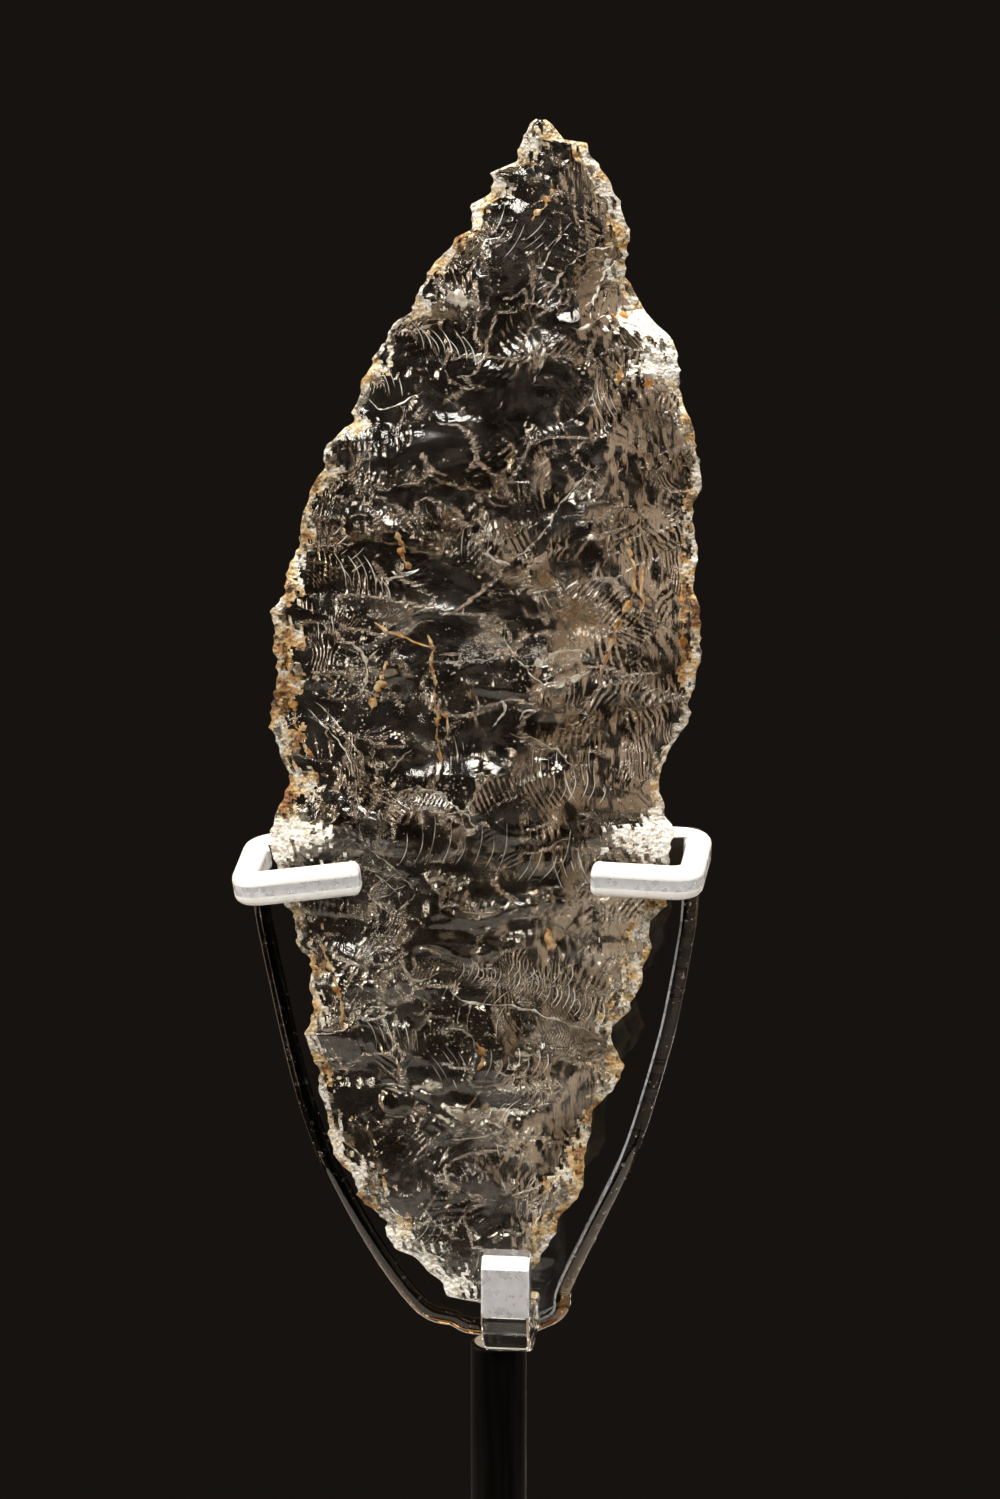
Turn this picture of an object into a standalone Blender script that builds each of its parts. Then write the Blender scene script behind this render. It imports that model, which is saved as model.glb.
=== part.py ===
# A leaf-shaped blade flaked from rock crystal, upright in a clear cradle on a rod with a foot.
# Sizes are in millimetres. X runs to the right, Z up, and the viewer stands at -Y.
import bmesh
import bpy
import numpy as np
from mathutils import Matrix

MM = 0.001
CLEARANCE = 0.3  # between pieces that touch

# Foot and rod. The rod's axis is X = Y = 0.
FOOT_DIAMETER = 70.0
FOOT_HEIGHT = 6.0
FOOT_CHAMFER = 1.0
ROD_DIAMETER = 5.0
ROD_TOP = 65.7
SOCKET_DEPTH = 4.0
ROUND_STEPS = 64

# Blade: its size, and how far each face bulges from the plane of its edge.
BLADE_LENGTH = 109.5
BLADE_WIDTH = 38.8
FRONT_DEPTH = 4.1
BACK_DEPTH = 3.8
BLADE_ROWS = 104
BLADE_COLUMNS = 18
BULGE_POWER = 2.4
EDGE_POWER = 0.85
LEAST_SHARE = 0.3  # of the unflaked depth, which no scar goes below
EDGE_WANDER = 0.5  # how far the edge strays from its plane
WANDER_RUN = 8.0  # the length over which the wander grows from either end

# Cradle: the plate stands just behind the rod's line, and the blade just before the plate.
SEAT_FLOOR = 3.5
PLATE_FRONT = ROD_DIAMETER / 2.0 + CLEARANCE
BLADE_Y = PLATE_FRONT - CLEARANCE - BACK_DEPTH
SEAT_UNDER = ROD_TOP + CLEARANCE
BLADE_BASE = SEAT_UNDER + SEAT_FLOOR + CLEARANCE
PLATE_THICKNESS = 3.0
RIM_RADIUS = 1.4
HOOK_WALL = 2.2
HOOK_HEIGHT = 2.9
HOOK_TUCK = 0.2  # how far a hook's front leg comes in behind the blade's thickest part
HOOK_LAP = 5.0  # how far a hook's back leg runs into the plate
HOOK_INSET = 0.25  # how much thinner than the plate that leg is on each face
HOOK_BEND = 2.7
HOOK_INNER_BEND = 0.8
HOOK_END_ROUND = 0.5
LEFT_HOOK_SPACE = 0.8  # beside the blade's edge
LEFT_HOOK_LENGTH = 11.6
LEFT_HOOK_TILT = 8.5
RIGHT_HOOK_SPACE = 0.8
RIGHT_HOOK_LENGTH = 9.8
RIGHT_HOOK_TILT = -1.5
SEAT_MIDDLE = 1.25  # to the right of the rod's axis
SEAT_WIDTH = 4.3
SEAT_WALL = 2.6
SEAT_SPACE = 1.1  # before the blade's base
SEAT_RISE = 6.3  # above the blade's base
SEAT_TOP_SLOPE = 1.0
SEAT_BEND = 4.6
SEAT_INNER_BEND = 1.8

# The forms below are drawn at the blade's size in the photograph, as distances to the right of the
# rod's axis and heights above the blade's base, and are stretched to the length and width above.
LEFT_HOOK_AT = 40.7
RIGHT_HOOK_AT = 42.1
PLATE_FACE = (
    (16.2, 42.2), (16.0, 36.5), (15.5, 32.5), (14.7, 27.9), (14.0, 24.5), (12.6, 19.2),
    (11.1, 14.2), (9.6, 10.4), (7.2, 5.2), (4.9, 0.0), (4.6, -2.0), (3.4, -2.9), (1.6, -3.5),
    (-2.6, -3.7), (-4.3, -3.0), (-6.2, -2.6), (-7.8, -1.2), (-10.0, 1.8), (-12.3, 5.6),
    (-14.2, 9.2), (-15.6, 12.2), (-17.3, 17.4), (-18.7, 23.2), (-19.6, 27.6), (-20.4, 31.6),
    (-21.0, 35.4), (-21.2, 40.2),
)

# Depth of the unflaked form by height, as a share of the deepest.
DEPTH_HEIGHTS = (0.0, 6.0, 20.0, 45.0, 70.0, 92.0, 104.0, 109.5)
DEPTH_SHARES = (0.15, 0.44, 0.76, 1.0, 0.93, 0.68, 0.39, 0.1)

# The two edges from base to tip.
LEFT_EDGE = (
    (-1.6, 0.0), (-4.5, 0.5), (-5.0, 1.5), (-7.9, 4.3), (-9.3, 4.9), (-10.0, 5.7), (-10.2, 7.3),
    (-12.4, 9.2), (-13.2, 12.2), (-14.9, 13.6), (-17.3, 24.9), (-16.8, 28.9), (-17.1, 32.1),
    (-18.0, 33.1), (-18.5, 36.0), (-19.5, 36.9), (-20.6, 43.7), (-18.6, 48.4), (-18.6, 49.4),
    (-19.5, 50.6), (-20.5, 53.5), (-19.6, 59.8), (-20.3, 62.9), (-20.1, 64.6), (-19.2, 66.0),
    (-16.2, 76.6), (-15.3, 78.1), (-15.2, 79.4), (-14.3, 80.9), (-13.0, 81.9), (-12.5, 84.4),
    (-10.2, 89.6), (-7.8, 92.1), (-6.3, 95.5), (-4.3, 98.2), (-2.8, 99.6), (-2.6, 101.4),
    (-1.1, 102.7), (-0.7, 104.5), (1.3, 105.6), (1.4, 106.5), (2.8, 109.1), (3.4, 109.5),
)
RIGHT_EDGE = (
    (0.7, 0.0), (4.8, 5.4), (5.4, 7.1), (7.4, 10.4), (7.9, 11.7), (7.9, 14.4), (9.1, 18.8),
    (10.1, 19.6), (11.5, 22.7), (10.4, 26.9), (12.1, 28.2), (12.1, 29.1), (12.6, 29.7),
    (13.7, 33.6), (13.9, 36.4), (15.3, 38.0), (15.9, 45.5), (14.5, 48.8), (14.6, 50.3),
    (14.8, 51.4), (17.4, 55.8), (17.3, 57.7), (18.1, 60.7), (18.2, 64.1), (17.6, 69.2),
    (17.8, 71.6), (17.4, 73.0), (17.5, 75.2), (18.1, 76.5), (17.9, 81.5), (16.3, 85.8),
    (15.8, 89.2), (15.2, 90.6), (13.7, 91.8), (11.3, 95.5), (11.8, 97.6), (11.8, 99.3),
    (10.9, 102.8), (7.7, 107.6), (5.9, 107.7), (4.9, 109.0), (4.2, 109.5),
)

# Flake scars of the front: side, height on the edge, upward angle, length, half width, depth and
# how abruptly the scar ends: in a thin feather, or in a hinge that breaks upwards.
FEATHER = 4.0
HINGE = 14.0
FRONT_SCARS = (
    ("left", 104.0, -25.0, 7.0, 2.6, 0.5, FEATHER),
    ("left", 99.0, -20.0, 11.0, 3.4, 0.6, FEATHER),
    ("left", 92.5, -5.0, 10.0, 2.8, 0.7, FEATHER),
    ("left", 88.0, -15.0, 15.0, 3.6, 1.0, FEATHER),
    ("left", 82.0, -10.0, 14.0, 3.4, 0.9, FEATHER),
    ("left", 77.5, -8.0, 17.0, 4.2, 1.2, HINGE),
    ("left", 71.5, -5.0, 14.0, 3.0, 0.8, FEATHER),
    ("left", 67.0, -6.0, 20.0, 3.6, 1.3, FEATHER),
    ("left", 62.0, -2.0, 23.0, 3.6, 1.5, HINGE),
    ("left", 56.5, 3.0, 14.0, 3.2, 0.9, FEATHER),
    ("left", 51.5, -22.0, 12.0, 2.6, 1.1, HINGE),
    ("left", 46.5, -4.0, 10.0, 3.2, 0.9, FEATHER),
    ("left", 40.0, -12.0, 15.0, 3.8, 1.2, HINGE),
    ("left", 33.5, -8.0, 12.0, 2.8, 0.9, FEATHER),
    ("left", 28.0, 5.0, 15.0, 3.2, 1.0, FEATHER),
    ("left", 22.5, 4.0, 14.0, 3.4, 1.1, FEATHER),
    ("left", 17.0, -6.0, 11.0, 2.6, 0.8, FEATHER),
    ("left", 12.0, 6.0, 12.0, 2.8, 0.9, FEATHER),
    ("left", 6.5, 20.0, 9.0, 2.6, 0.7, FEATHER),
    ("right", 104.0, -35.0, 8.0, 2.8, 0.6, FEATHER),
    ("right", 98.5, -32.0, 16.0, 4.2, 1.0, HINGE),
    ("right", 91.0, -28.0, 13.0, 3.2, 1.1, FEATHER),
    ("right", 85.5, -12.0, 15.0, 3.6, 1.0, FEATHER),
    ("right", 79.0, -10.0, 17.0, 3.6, 1.1, FEATHER),
    ("right", 72.0, -18.0, 15.0, 3.8, 1.2, FEATHER),
    ("right", 65.5, -12.0, 14.0, 3.2, 1.0, FEATHER),
    ("right", 60.0, -3.0, 15.0, 3.0, 1.6, HINGE),
    ("right", 54.5, 2.0, 27.0, 5.2, 1.9, HINGE),
    ("right", 49.5, -4.0, 8.0, 3.0, 1.4, HINGE),
    ("right", 43.5, -4.0, 22.0, 4.6, 1.4, FEATHER),
    ("right", 36.0, 2.0, 18.0, 3.8, 1.1, FEATHER),
    ("right", 30.5, 4.0, 12.0, 2.8, 0.9, FEATHER),
    ("right", 24.5, 24.0, 20.0, 3.4, 1.6, HINGE),
    ("right", 19.0, 8.0, 15.0, 3.2, 1.3, FEATHER),
    ("right", 13.5, 2.0, 9.0, 2.4, 0.8, FEATHER),
    ("right", 8.5, 6.0, 13.0, 3.2, 1.1, HINGE),
    ("right", 3.0, 45.0, 9.0, 2.4, 0.6, FEATHER),
)

# Scars of the back, which the viewer can't see, laid up both edges in the front's manner.
BACK_SCAR_STEP = 6.4
BACK_SCAR_FIRST = 4.0
BACK_SCAR_LENGTH = 16.0
BACK_SCAR_HALF = 3.9
BACK_SCAR_DEPTH = 1.15
BACK_SCAR_SLANT = -8.0

DRAWN_LENGTH = LEFT_EDGE[-1][1]
DRAWN_WIDTH = max(x for x, _ in RIGHT_EDGE) - min(x for x, _ in LEFT_EDGE)
STRETCH_X = BLADE_WIDTH / DRAWN_WIDTH
STRETCH_Z = BLADE_LENGTH / DRAWN_LENGTH


def clear_scene():
    for thing in list(bpy.data.objects):
        bpy.data.objects.remove(thing, do_unlink=True)


def new_collection(name):
    group = bpy.data.collections.new(name)
    bpy.context.scene.collection.children.link(group)
    return group


def put(name, mesh, group, material=None, helper=False):
    thing = bpy.data.objects.new(name, mesh)
    group.objects.link(thing)
    if material:
        mesh.materials.clear()
        mesh.materials.append(material)
    if helper:
        thing.hide_render = True
        thing.display_type = "WIRE"
    return thing


def principled(name, colour, roughness, metallic=0.0, transmission=0.0, ior=1.45):
    material = bpy.data.materials.new(name)
    material.use_nodes = True
    shader = material.node_tree.nodes["Principled BSDF"]
    shader.inputs["Base Color"].default_value = (*colour, 1.0)
    shader.inputs["Roughness"].default_value = roughness
    shader.inputs["Metallic"].default_value = metallic
    shader.inputs["Transmission Weight"].default_value = transmission
    shader.inputs["IOR"].default_value = ior
    material.diffuse_color = (*colour, 1.0)
    return material


def join(target, tool, operation):
    step = target.modifiers.new(tool.name, "BOOLEAN")
    step.operation = operation
    step.solver = "EXACT"
    step.object = tool


def arc(centre, radius, start, end, steps):
    """Points of a circle's part, with the angles in degrees."""
    angles = np.radians(np.linspace(start, end, steps + 1))
    return [(centre[0] + radius * np.cos(a), centre[1] + radius * np.sin(a)) for a in angles]


def outline_mesh(name, points, half_thickness, rim=0.0):
    """A closed flat outline, thickened both ways. A rim rounds the edge outwards of the outline."""
    curve = bpy.data.curves.new(name + "_outline", "CURVE")
    curve.dimensions = "2D"
    curve.fill_mode = "BOTH"
    curve.extrude = (half_thickness - rim) * MM
    curve.bevel_depth = rim * MM
    curve.bevel_resolution = 2
    line = curve.splines.new("POLY")
    line.points.add(len(points) - 1)
    line.points.foreach_set("co", [n for x, y in points for n in (x * MM, y * MM, 0.0, 1.0)])
    line.use_cyclic_u = True
    holder = bpy.data.objects.new(name + "_curve", curve)
    bpy.context.scene.collection.objects.link(holder)
    graph = bpy.context.evaluated_depsgraph_get()
    mesh = bpy.data.meshes.new_from_object(holder.evaluated_get(graph))
    bpy.data.objects.remove(holder, do_unlink=True)
    work = bmesh.new()
    work.from_mesh(mesh)
    bmesh.ops.remove_doubles(work, verts=work.verts, dist=0.001 * MM)
    bmesh.ops.recalc_face_normals(work, faces=work.faces)
    work.to_mesh(mesh)
    work.free()
    mesh.name = name
    return mesh


def turned(name, profile, group, material=None, helper=False):
    """A profile of (radius, height) points, given from the bottom up, turned about Z."""
    points = [(radius * MM, 0.0, height * MM) for radius, height in reversed(profile)]
    mesh = bpy.data.meshes.new(name)
    mesh.from_pydata(points, [(i, i + 1) for i in range(len(points) - 1)], [])
    thing = put(name, mesh, group, material, helper)
    screw = thing.modifiers.new("turn", "SCREW")
    screw.steps = ROUND_STEPS
    screw.render_steps = ROUND_STEPS
    screw.use_merge_vertices = True
    screw.merge_threshold = 0.00001
    screw.use_smooth_shade = True
    return thing


def scoop_depth(x, z, edge_point, inward, scar):
    """Depth of one scar below the smooth form: a trough along its line, with its own kind of end."""
    _, _, angle, length, half_width, depth, ending = scar
    slope = np.radians(angle)
    along_x = inward * np.cos(slope)
    along_z = np.sin(slope)
    along = (x - edge_point[0]) * along_x + (z - edge_point[1]) * along_z
    across = (z - edge_point[1]) * along_x - (x - edge_point[0]) * along_z
    reach = np.clip(along, 0.0, 1.5 * length) / length
    fade = 1.0 - reach**ending - (across / half_width) ** 2
    return depth * np.clip(fade, 0.0, None)


def edge_at(edge, height):
    """The drawn edge's distance from the axis at a height, or at an array of heights."""
    distances = [point[0] for point in edge]
    heights = [point[1] for point in edge]
    return np.interp(height, heights, distances)


def flaked(x, z, smooth, scars):
    """The height of a face after its scars are taken from the smooth form."""
    depth = np.zeros_like(x)
    for scar in scars:
        edge = LEFT_EDGE if scar[0] == "left" else RIGHT_EDGE
        inward = 1.0 if scar[0] == "left" else -1.0
        edge_point = (edge_at(edge, scar[1]), scar[1])
        depth = np.maximum(depth, scoop_depth(x, z, edge_point, inward, scar))
    free = np.maximum(smooth * (1.0 - LEAST_SHARE), 1e-6)
    return smooth * LEAST_SHARE + free * np.exp(-depth / free)


def back_scars():
    """Scars up both edges of the back, each a little unlike its neighbours by a slow wave."""
    scars = []
    count = int((DRAWN_LENGTH - BACK_SCAR_FIRST) / BACK_SCAR_STEP)
    for number in range(count):
        for side, shift in (("left", 0.0), ("right", 0.5)):
            height = BACK_SCAR_FIRST + (number + shift) * BACK_SCAR_STEP
            swing = np.sin(2.4 * number + 3.0 * shift)
            width_here = edge_at(RIGHT_EDGE, height) - edge_at(LEFT_EDGE, height)
            length = min(BACK_SCAR_LENGTH * (1.0 + 0.3 * swing), 0.62 * width_here)
            depth = BACK_SCAR_DEPTH * (1.0 + 0.25 * swing) * min(1.0, width_here / 25.0)
            slant = BACK_SCAR_SLANT + 9.0 * swing
            scars.append((side, height, slant, length, BACK_SCAR_HALF, depth, FEATHER))
    return scars


def blade_mesh():
    """Two flaked faces over the outline, which share the vertices of the edge."""
    height = np.linspace(0.0, DRAWN_LENGTH, BLADE_ROWS + 1)
    even = np.linspace(0.0, 1.0, BLADE_COLUMNS + 1)
    share = 0.6 * even + 0.4 * (1.0 - np.cos(np.pi * even)) / 2.0
    z, s = np.meshgrid(height, share, indexing="ij")
    left = edge_at(LEFT_EDGE, z)
    right = edge_at(RIGHT_EDGE, z)
    x = left + (right - left) * s
    crosswise = np.clip(1.0 - np.abs(2.0 * s - 1.0) ** BULGE_POWER, 0.0, 1.0) ** EDGE_POWER
    smooth = crosswise * np.interp(z, DEPTH_HEIGHTS, DEPTH_SHARES)
    front = flaked(x, z, smooth * FRONT_DEPTH, FRONT_SCARS)
    back = flaked(x, z, smooth * BACK_DEPTH, back_scars())
    ends = np.clip(np.minimum(z, DRAWN_LENGTH - z) / WANDER_RUN, 0.0, 1.0)
    left_wander = np.sin(0.37 * z + 0.6) + 0.5 * np.sin(0.93 * z)
    right_wander = np.sin(0.33 * z + 2.1) + 0.5 * np.sin(0.81 * z + 1.0)
    middle = BLADE_Y + EDGE_WANDER * ends * ((1.0 - s) ** 3 * left_wander + s**3 * right_wander)
    across = x * STRETCH_X
    above = BLADE_BASE + z * STRETCH_Z
    front_points = np.stack([across, middle - front, above], axis=-1).reshape(-1, 3)
    back_points = np.stack([across, middle + back, above], axis=-1).reshape(-1, 3)

    wide = BLADE_COLUMNS + 1
    number = np.arange((BLADE_ROWS + 1) * wide).reshape(BLADE_ROWS + 1, wide)
    inside = np.zeros_like(number, dtype=bool)
    inside[1:-1, 1:-1] = True
    back_number = number.copy()
    back_number[inside] = len(front_points) + np.arange(inside.sum())
    points = np.concatenate([front_points, back_points[inside.reshape(-1)]]) * MM
    faces = grid_faces(number) + [face[::-1] for face in grid_faces(back_number)]
    mesh = bpy.data.meshes.new("blade")
    mesh.from_pydata(points.tolist(), [], faces)
    return mesh


def grid_faces(number):
    """Triangles of a grid, with every corner cell cut from its corner, so the two faces stay apart."""
    rows, columns = number.shape[0] - 1, number.shape[1] - 1
    faces = []
    for i in range(rows):
        for j in range(columns):
            a, b = int(number[i, j]), int(number[i, j + 1])
            c, d = int(number[i + 1, j + 1]), int(number[i + 1, j])
            if (2 * i < rows) == (2 * j < columns):
                faces += [(a, b, c), (a, c, d)]
            else:
                faces += [(a, b, d), (b, c, d)]
    return faces


def side_hook(name, group, edge, height, space, length, tilt):
    """A strip bent round the blade's edge: a leg in the plate, an outer wall and a front leg."""
    edge_x = edge_at(edge, height) * STRETCH_X
    out = 1.0 if edge_x > 0.0 else -1.0
    inner = abs(edge_x) + space
    reach = inner + HOOK_WALL
    end = reach - length
    back = PLATE_FRONT + PLATE_THICKNESS - HOOK_INSET
    leg = PLATE_FRONT + HOOK_INSET
    grip = BLADE_Y - FRONT_DEPTH + HOOK_TUCK
    front = grip - HOOK_WALL
    bend = HOOK_BEND
    small = HOOK_INNER_BEND
    nose = HOOK_END_ROUND
    points = [(inner - HOOK_LAP, back)]
    points += arc((reach - bend, back - bend), bend, 90.0, 0.0, 6)
    points += arc((reach - bend, front + bend), bend, 0.0, -90.0, 6)
    points += arc((end + nose, front + nose), nose, -90.0, -180.0, 3)
    points += arc((end + nose, grip - nose), nose, 180.0, 90.0, 3)
    points += arc((inner - small, grip + small), small, -90.0, 0.0, 3)
    points += arc((inner - small, leg - small), small, 0.0, 90.0, 3)
    points += [(inner - HOOK_LAP, leg)]
    placed = [(out * x, y) for x, y in points]
    if out < 0.0:
        placed.reverse()
    mesh = outline_mesh(name, placed, HOOK_HEIGHT / 2.0)
    centre = out * (reach + end) / 2.0 * MM
    middle = (BLADE_BASE + height * STRETCH_Z) * MM
    turn = Matrix.Rotation(np.radians(-tilt), 4, "Y")
    raise_up = Matrix.Translation((centre, 0.0, middle))
    mesh.transform(raise_up @ turn @ Matrix.Translation((-centre, 0.0, 0.0)))
    return put(name, mesh, group, helper=True)


def seat_hook(group):
    """The hook below: a block on the rod that bends up in front of the blade's base."""
    under = SEAT_UNDER
    seat = SEAT_UNDER + SEAT_FLOOR
    top = BLADE_BASE + SEAT_RISE
    back = PLATE_FRONT + PLATE_THICKNESS - HOOK_INSET
    blade_front = BLADE_Y - FRONT_DEPTH * np.interp(SEAT_RISE, DEPTH_HEIGHTS, DEPTH_SHARES)
    inner = blade_front - SEAT_SPACE
    front = inner - SEAT_WALL
    small = SEAT_INNER_BEND
    points = [(back, under)]
    points += arc((front + SEAT_BEND, under + SEAT_BEND), SEAT_BEND, 270.0, 180.0, 8)
    points += [(front, top - SEAT_TOP_SLOPE), (front + SEAT_TOP_SLOPE, top)]
    points += [(inner, top)]
    points += arc((inner + small, seat + small), small, 180.0, 270.0, 4)
    points += [(back, seat)]
    points.reverse()
    mesh = outline_mesh("seat_hook", points, SEAT_WIDTH / 2.0)
    stand = Matrix(((0, 0, 1, 0), (1, 0, 0, 0), (0, 1, 0, 0), (0, 0, 0, 1)))
    mesh.transform(Matrix.Translation((SEAT_MIDDLE * MM, 0.0, 0.0)) @ stand)
    return put("seat_hook", mesh, group, helper=True)


def build_cradle(group, helpers, material):
    """The plate with its rounded rim, joined to its three hooks as one piece."""
    face = [(x * STRETCH_X, BLADE_BASE + z * STRETCH_Z) for x, z in PLATE_FACE]
    mesh = outline_mesh("cradle", face, PLATE_THICKNESS / 2.0, RIM_RADIUS)
    middle = PLATE_FRONT + PLATE_THICKNESS / 2.0
    mesh.transform(Matrix.Translation((0.0, middle * MM, 0.0)) @ Matrix.Rotation(np.pi / 2.0, 4, "X"))
    cradle = put("cradle", mesh, group, material)
    left = (LEFT_EDGE, LEFT_HOOK_AT, LEFT_HOOK_SPACE, LEFT_HOOK_LENGTH, LEFT_HOOK_TILT)
    right = (RIGHT_EDGE, RIGHT_HOOK_AT, RIGHT_HOOK_SPACE, RIGHT_HOOK_LENGTH, RIGHT_HOOK_TILT)
    join(cradle, side_hook("left_hook", helpers, *left), "UNION")
    join(cradle, side_hook("right_hook", helpers, *right), "UNION")
    join(cradle, seat_hook(helpers), "UNION")


def build_stand(group, helpers, rod_paint, foot_paint):
    rod_radius = ROD_DIAMETER / 2.0
    rod_foot = FOOT_HEIGHT - SOCKET_DEPTH + CLEARANCE
    rod_profile = ((0.0, rod_foot), (rod_radius, rod_foot), (rod_radius, ROD_TOP), (0.0, ROD_TOP))
    turned("rod", rod_profile, group, rod_paint)
    foot_radius = FOOT_DIAMETER / 2.0
    shoulder = FOOT_HEIGHT - FOOT_CHAMFER
    profile = (
        (0.0, 0.0), (foot_radius, 0.0), (foot_radius, shoulder),
        (foot_radius - FOOT_CHAMFER, FOOT_HEIGHT), (0.0, FOOT_HEIGHT),
    )
    foot = turned("foot", profile, group, foot_paint)
    socket_radius = rod_radius + CLEARANCE
    floor = FOOT_HEIGHT - SOCKET_DEPTH
    above = FOOT_HEIGHT + SOCKET_DEPTH
    socket = turned(
        "socket",
        ((0.0, floor), (socket_radius, floor), (socket_radius, above), (0.0, above)),
        helpers,
        helper=True,
    )
    join(foot, socket, "DIFFERENCE")


def build():
    clear_scene()
    group = new_collection("crystal_leaf_blade")
    helpers = new_collection("cutters")
    helpers.hide_render = True
    crystal = principled("rock_crystal", (0.93, 0.92, 0.9), 0.05, transmission=1.0, ior=1.544)
    acrylic = principled("clear_acrylic", (0.97, 0.98, 0.98), 0.03, transmission=1.0, ior=1.49)
    rod_paint = principled("black_rod_paint", (0.01, 0.01, 0.01), 0.4)
    foot_paint = principled("black_foot_paint", (0.015, 0.015, 0.015), 0.55)
    put("blade", blade_mesh(), group, crystal)
    build_cradle(group, helpers, acrylic)
    build_stand(group, helpers, rod_paint, foot_paint)


build()
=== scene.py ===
import bpy
import numpy as np
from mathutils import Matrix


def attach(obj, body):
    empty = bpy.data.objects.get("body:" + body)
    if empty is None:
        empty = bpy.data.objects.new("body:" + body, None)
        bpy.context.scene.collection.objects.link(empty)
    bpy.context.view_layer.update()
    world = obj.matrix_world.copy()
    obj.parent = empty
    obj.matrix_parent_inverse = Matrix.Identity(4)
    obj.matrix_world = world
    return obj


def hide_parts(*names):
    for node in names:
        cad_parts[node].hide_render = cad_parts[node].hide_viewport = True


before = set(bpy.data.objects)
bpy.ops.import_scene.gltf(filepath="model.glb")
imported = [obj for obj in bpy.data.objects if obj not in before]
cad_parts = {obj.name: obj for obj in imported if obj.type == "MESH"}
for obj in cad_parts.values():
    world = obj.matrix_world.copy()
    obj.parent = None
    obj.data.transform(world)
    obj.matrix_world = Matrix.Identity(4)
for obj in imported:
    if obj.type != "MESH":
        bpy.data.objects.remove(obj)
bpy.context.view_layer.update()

mm = 0.001
rootBody = "root"


# small tools

def linear(hexColour):
    # one sRGB hex value to a linear colour: v/12.92 below 0.04045, else ((v+0.055)/1.055)**2.4
    parts = [int(hexColour[i:i + 2], 16) / 255.0 for i in (1, 3, 5)]
    return tuple(v / 12.92 if v <= 0.04045 else ((v + 0.055) / 1.055) ** 2.4 for v in parts) + (1.0,)


def perMm(size):
    # the Scale of a noise in object coordinates (metres) whose grain is this many millimetres
    return 1.0 / (size * mm)


def plug(tree, node, links):
    # gives a node's sockets their plain values, or links them to another node's output
    for name, value in links.items():
        if isinstance(value, bpy.types.NodeSocket):
            tree.links.new(value, node.inputs[name])
        else:
            node.inputs[name].default_value = value


def addNode(tree, kind, links=None, output=0, **settings):
    # adds a node with its settings and links and gives its output; stops are a ramp's places and tones
    node = tree.nodes.new("ShaderNode" + kind)
    for name, value in settings.items():
        if name != "stops":
            setattr(node, name, value)
            continue
        ramp = node.color_ramp
        while len(ramp.elements) < len(value):
            ramp.elements.new(0.5)
        for element, (place, tone) in zip(ramp.elements, value):
            element.position = place
            element.color = linear(tone) if isinstance(tone, str) else (tone, tone, tone, 1.0)
    plug(tree, node, links or {})
    return node.outputs[output]


def newMaterial(name):
    # a material, its tree and shader, and the object coordinates that its patterns read
    material = bpy.data.materials.new(name)
    material.use_nodes = True
    tree = material.node_tree
    return material, tree, tree.nodes["Principled BSDF"], addNode(tree, "TexCoord", output="Object")


def noiseFinish(name, grain, detail, tints, rough, sockets=None, stretch=None, relief=None):
    # a finish from one noise whose grain is in millimetres: it picks the tint, and the roughness where that
    # isn't one plain number; stretch draws it out along an axis, relief is strength, depth, grain and detail
    material, tree, shader, place = newMaterial(name)
    if stretch:
        place = addNode(tree, "Mapping", {"Vector": place, "Scale": stretch})
    noise = addNode(tree, "TexNoise", {"Vector": place, "Scale": perMm(grain), "Detail": detail})
    plug(tree, shader, {"Base Color": addNode(tree, "ValToRGB", {"Fac": noise}, stops=tints)})
    if not isinstance(rough, float):
        rough = addNode(tree, "ValToRGB", {"Fac": noise}, stops=rough)
    plug(tree, shader, {"Roughness": rough, **(sockets or {})})
    if relief:
        strength, depth, size, fineness = relief
        bumps = addNode(tree, "TexNoise", {"Vector": place, "Scale": perMm(size), "Detail": fineness})
        bump = addNode(tree, "Bump", {"Height": bumps, "Strength": strength, "Distance": depth * mm})
        plug(tree, shader, {"Normal": bump})
    return material


def placeObject(name, data):
    # a mesh, camera or light gets its object in the scene
    thing = bpy.data.objects.new(name, data)
    bpy.context.scene.collection.objects.link(thing)
    return thing


def meshPiece(name, points, faces, materials, slots=None, sharpAngle=None):
    # points in millimetres become a mesh at the origin, smooth unless a crease is sharper than the angle
    mesh = bpy.data.meshes.new(name)
    mesh.from_pydata((np.asarray(points) * mm).tolist(), [], faces)
    for material in materials:
        mesh.materials.append(material)
    if slots is not None:
        mesh.polygons.foreach_set("material_index", np.asarray(slots, dtype=np.int32))
    mesh.polygons.foreach_set("use_smooth", np.ones(len(mesh.polygons), dtype=bool))
    if sharpAngle is not None:
        mesh.set_sharp_from_angle(angle=np.radians(sharpAngle))
    mesh.update()
    return placeObject(name, mesh)


def tubeFaces(number, poles=None):
    # quads of a grid of vertex numbers whose rows are closed rings; its ends are shut by the two vertices
    # from number poles on, or by one face each
    following = np.roll(number, -1, axis=1)
    quads = np.stack([number[:-1], following[:-1], following[1:], number[1:]], axis=-1).reshape(-1, 4)
    faces = quads.tolist()
    if poles is None:
        return faces + [number[0, ::-1].tolist(), number[-1].tolist()]
    faces += [(poles, int(b), int(a)) for a, b in zip(number[0], following[0])]
    faces += [(poles + 1, int(a), int(b)) for a, b in zip(number[-1], following[-1])]
    return faces


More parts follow.
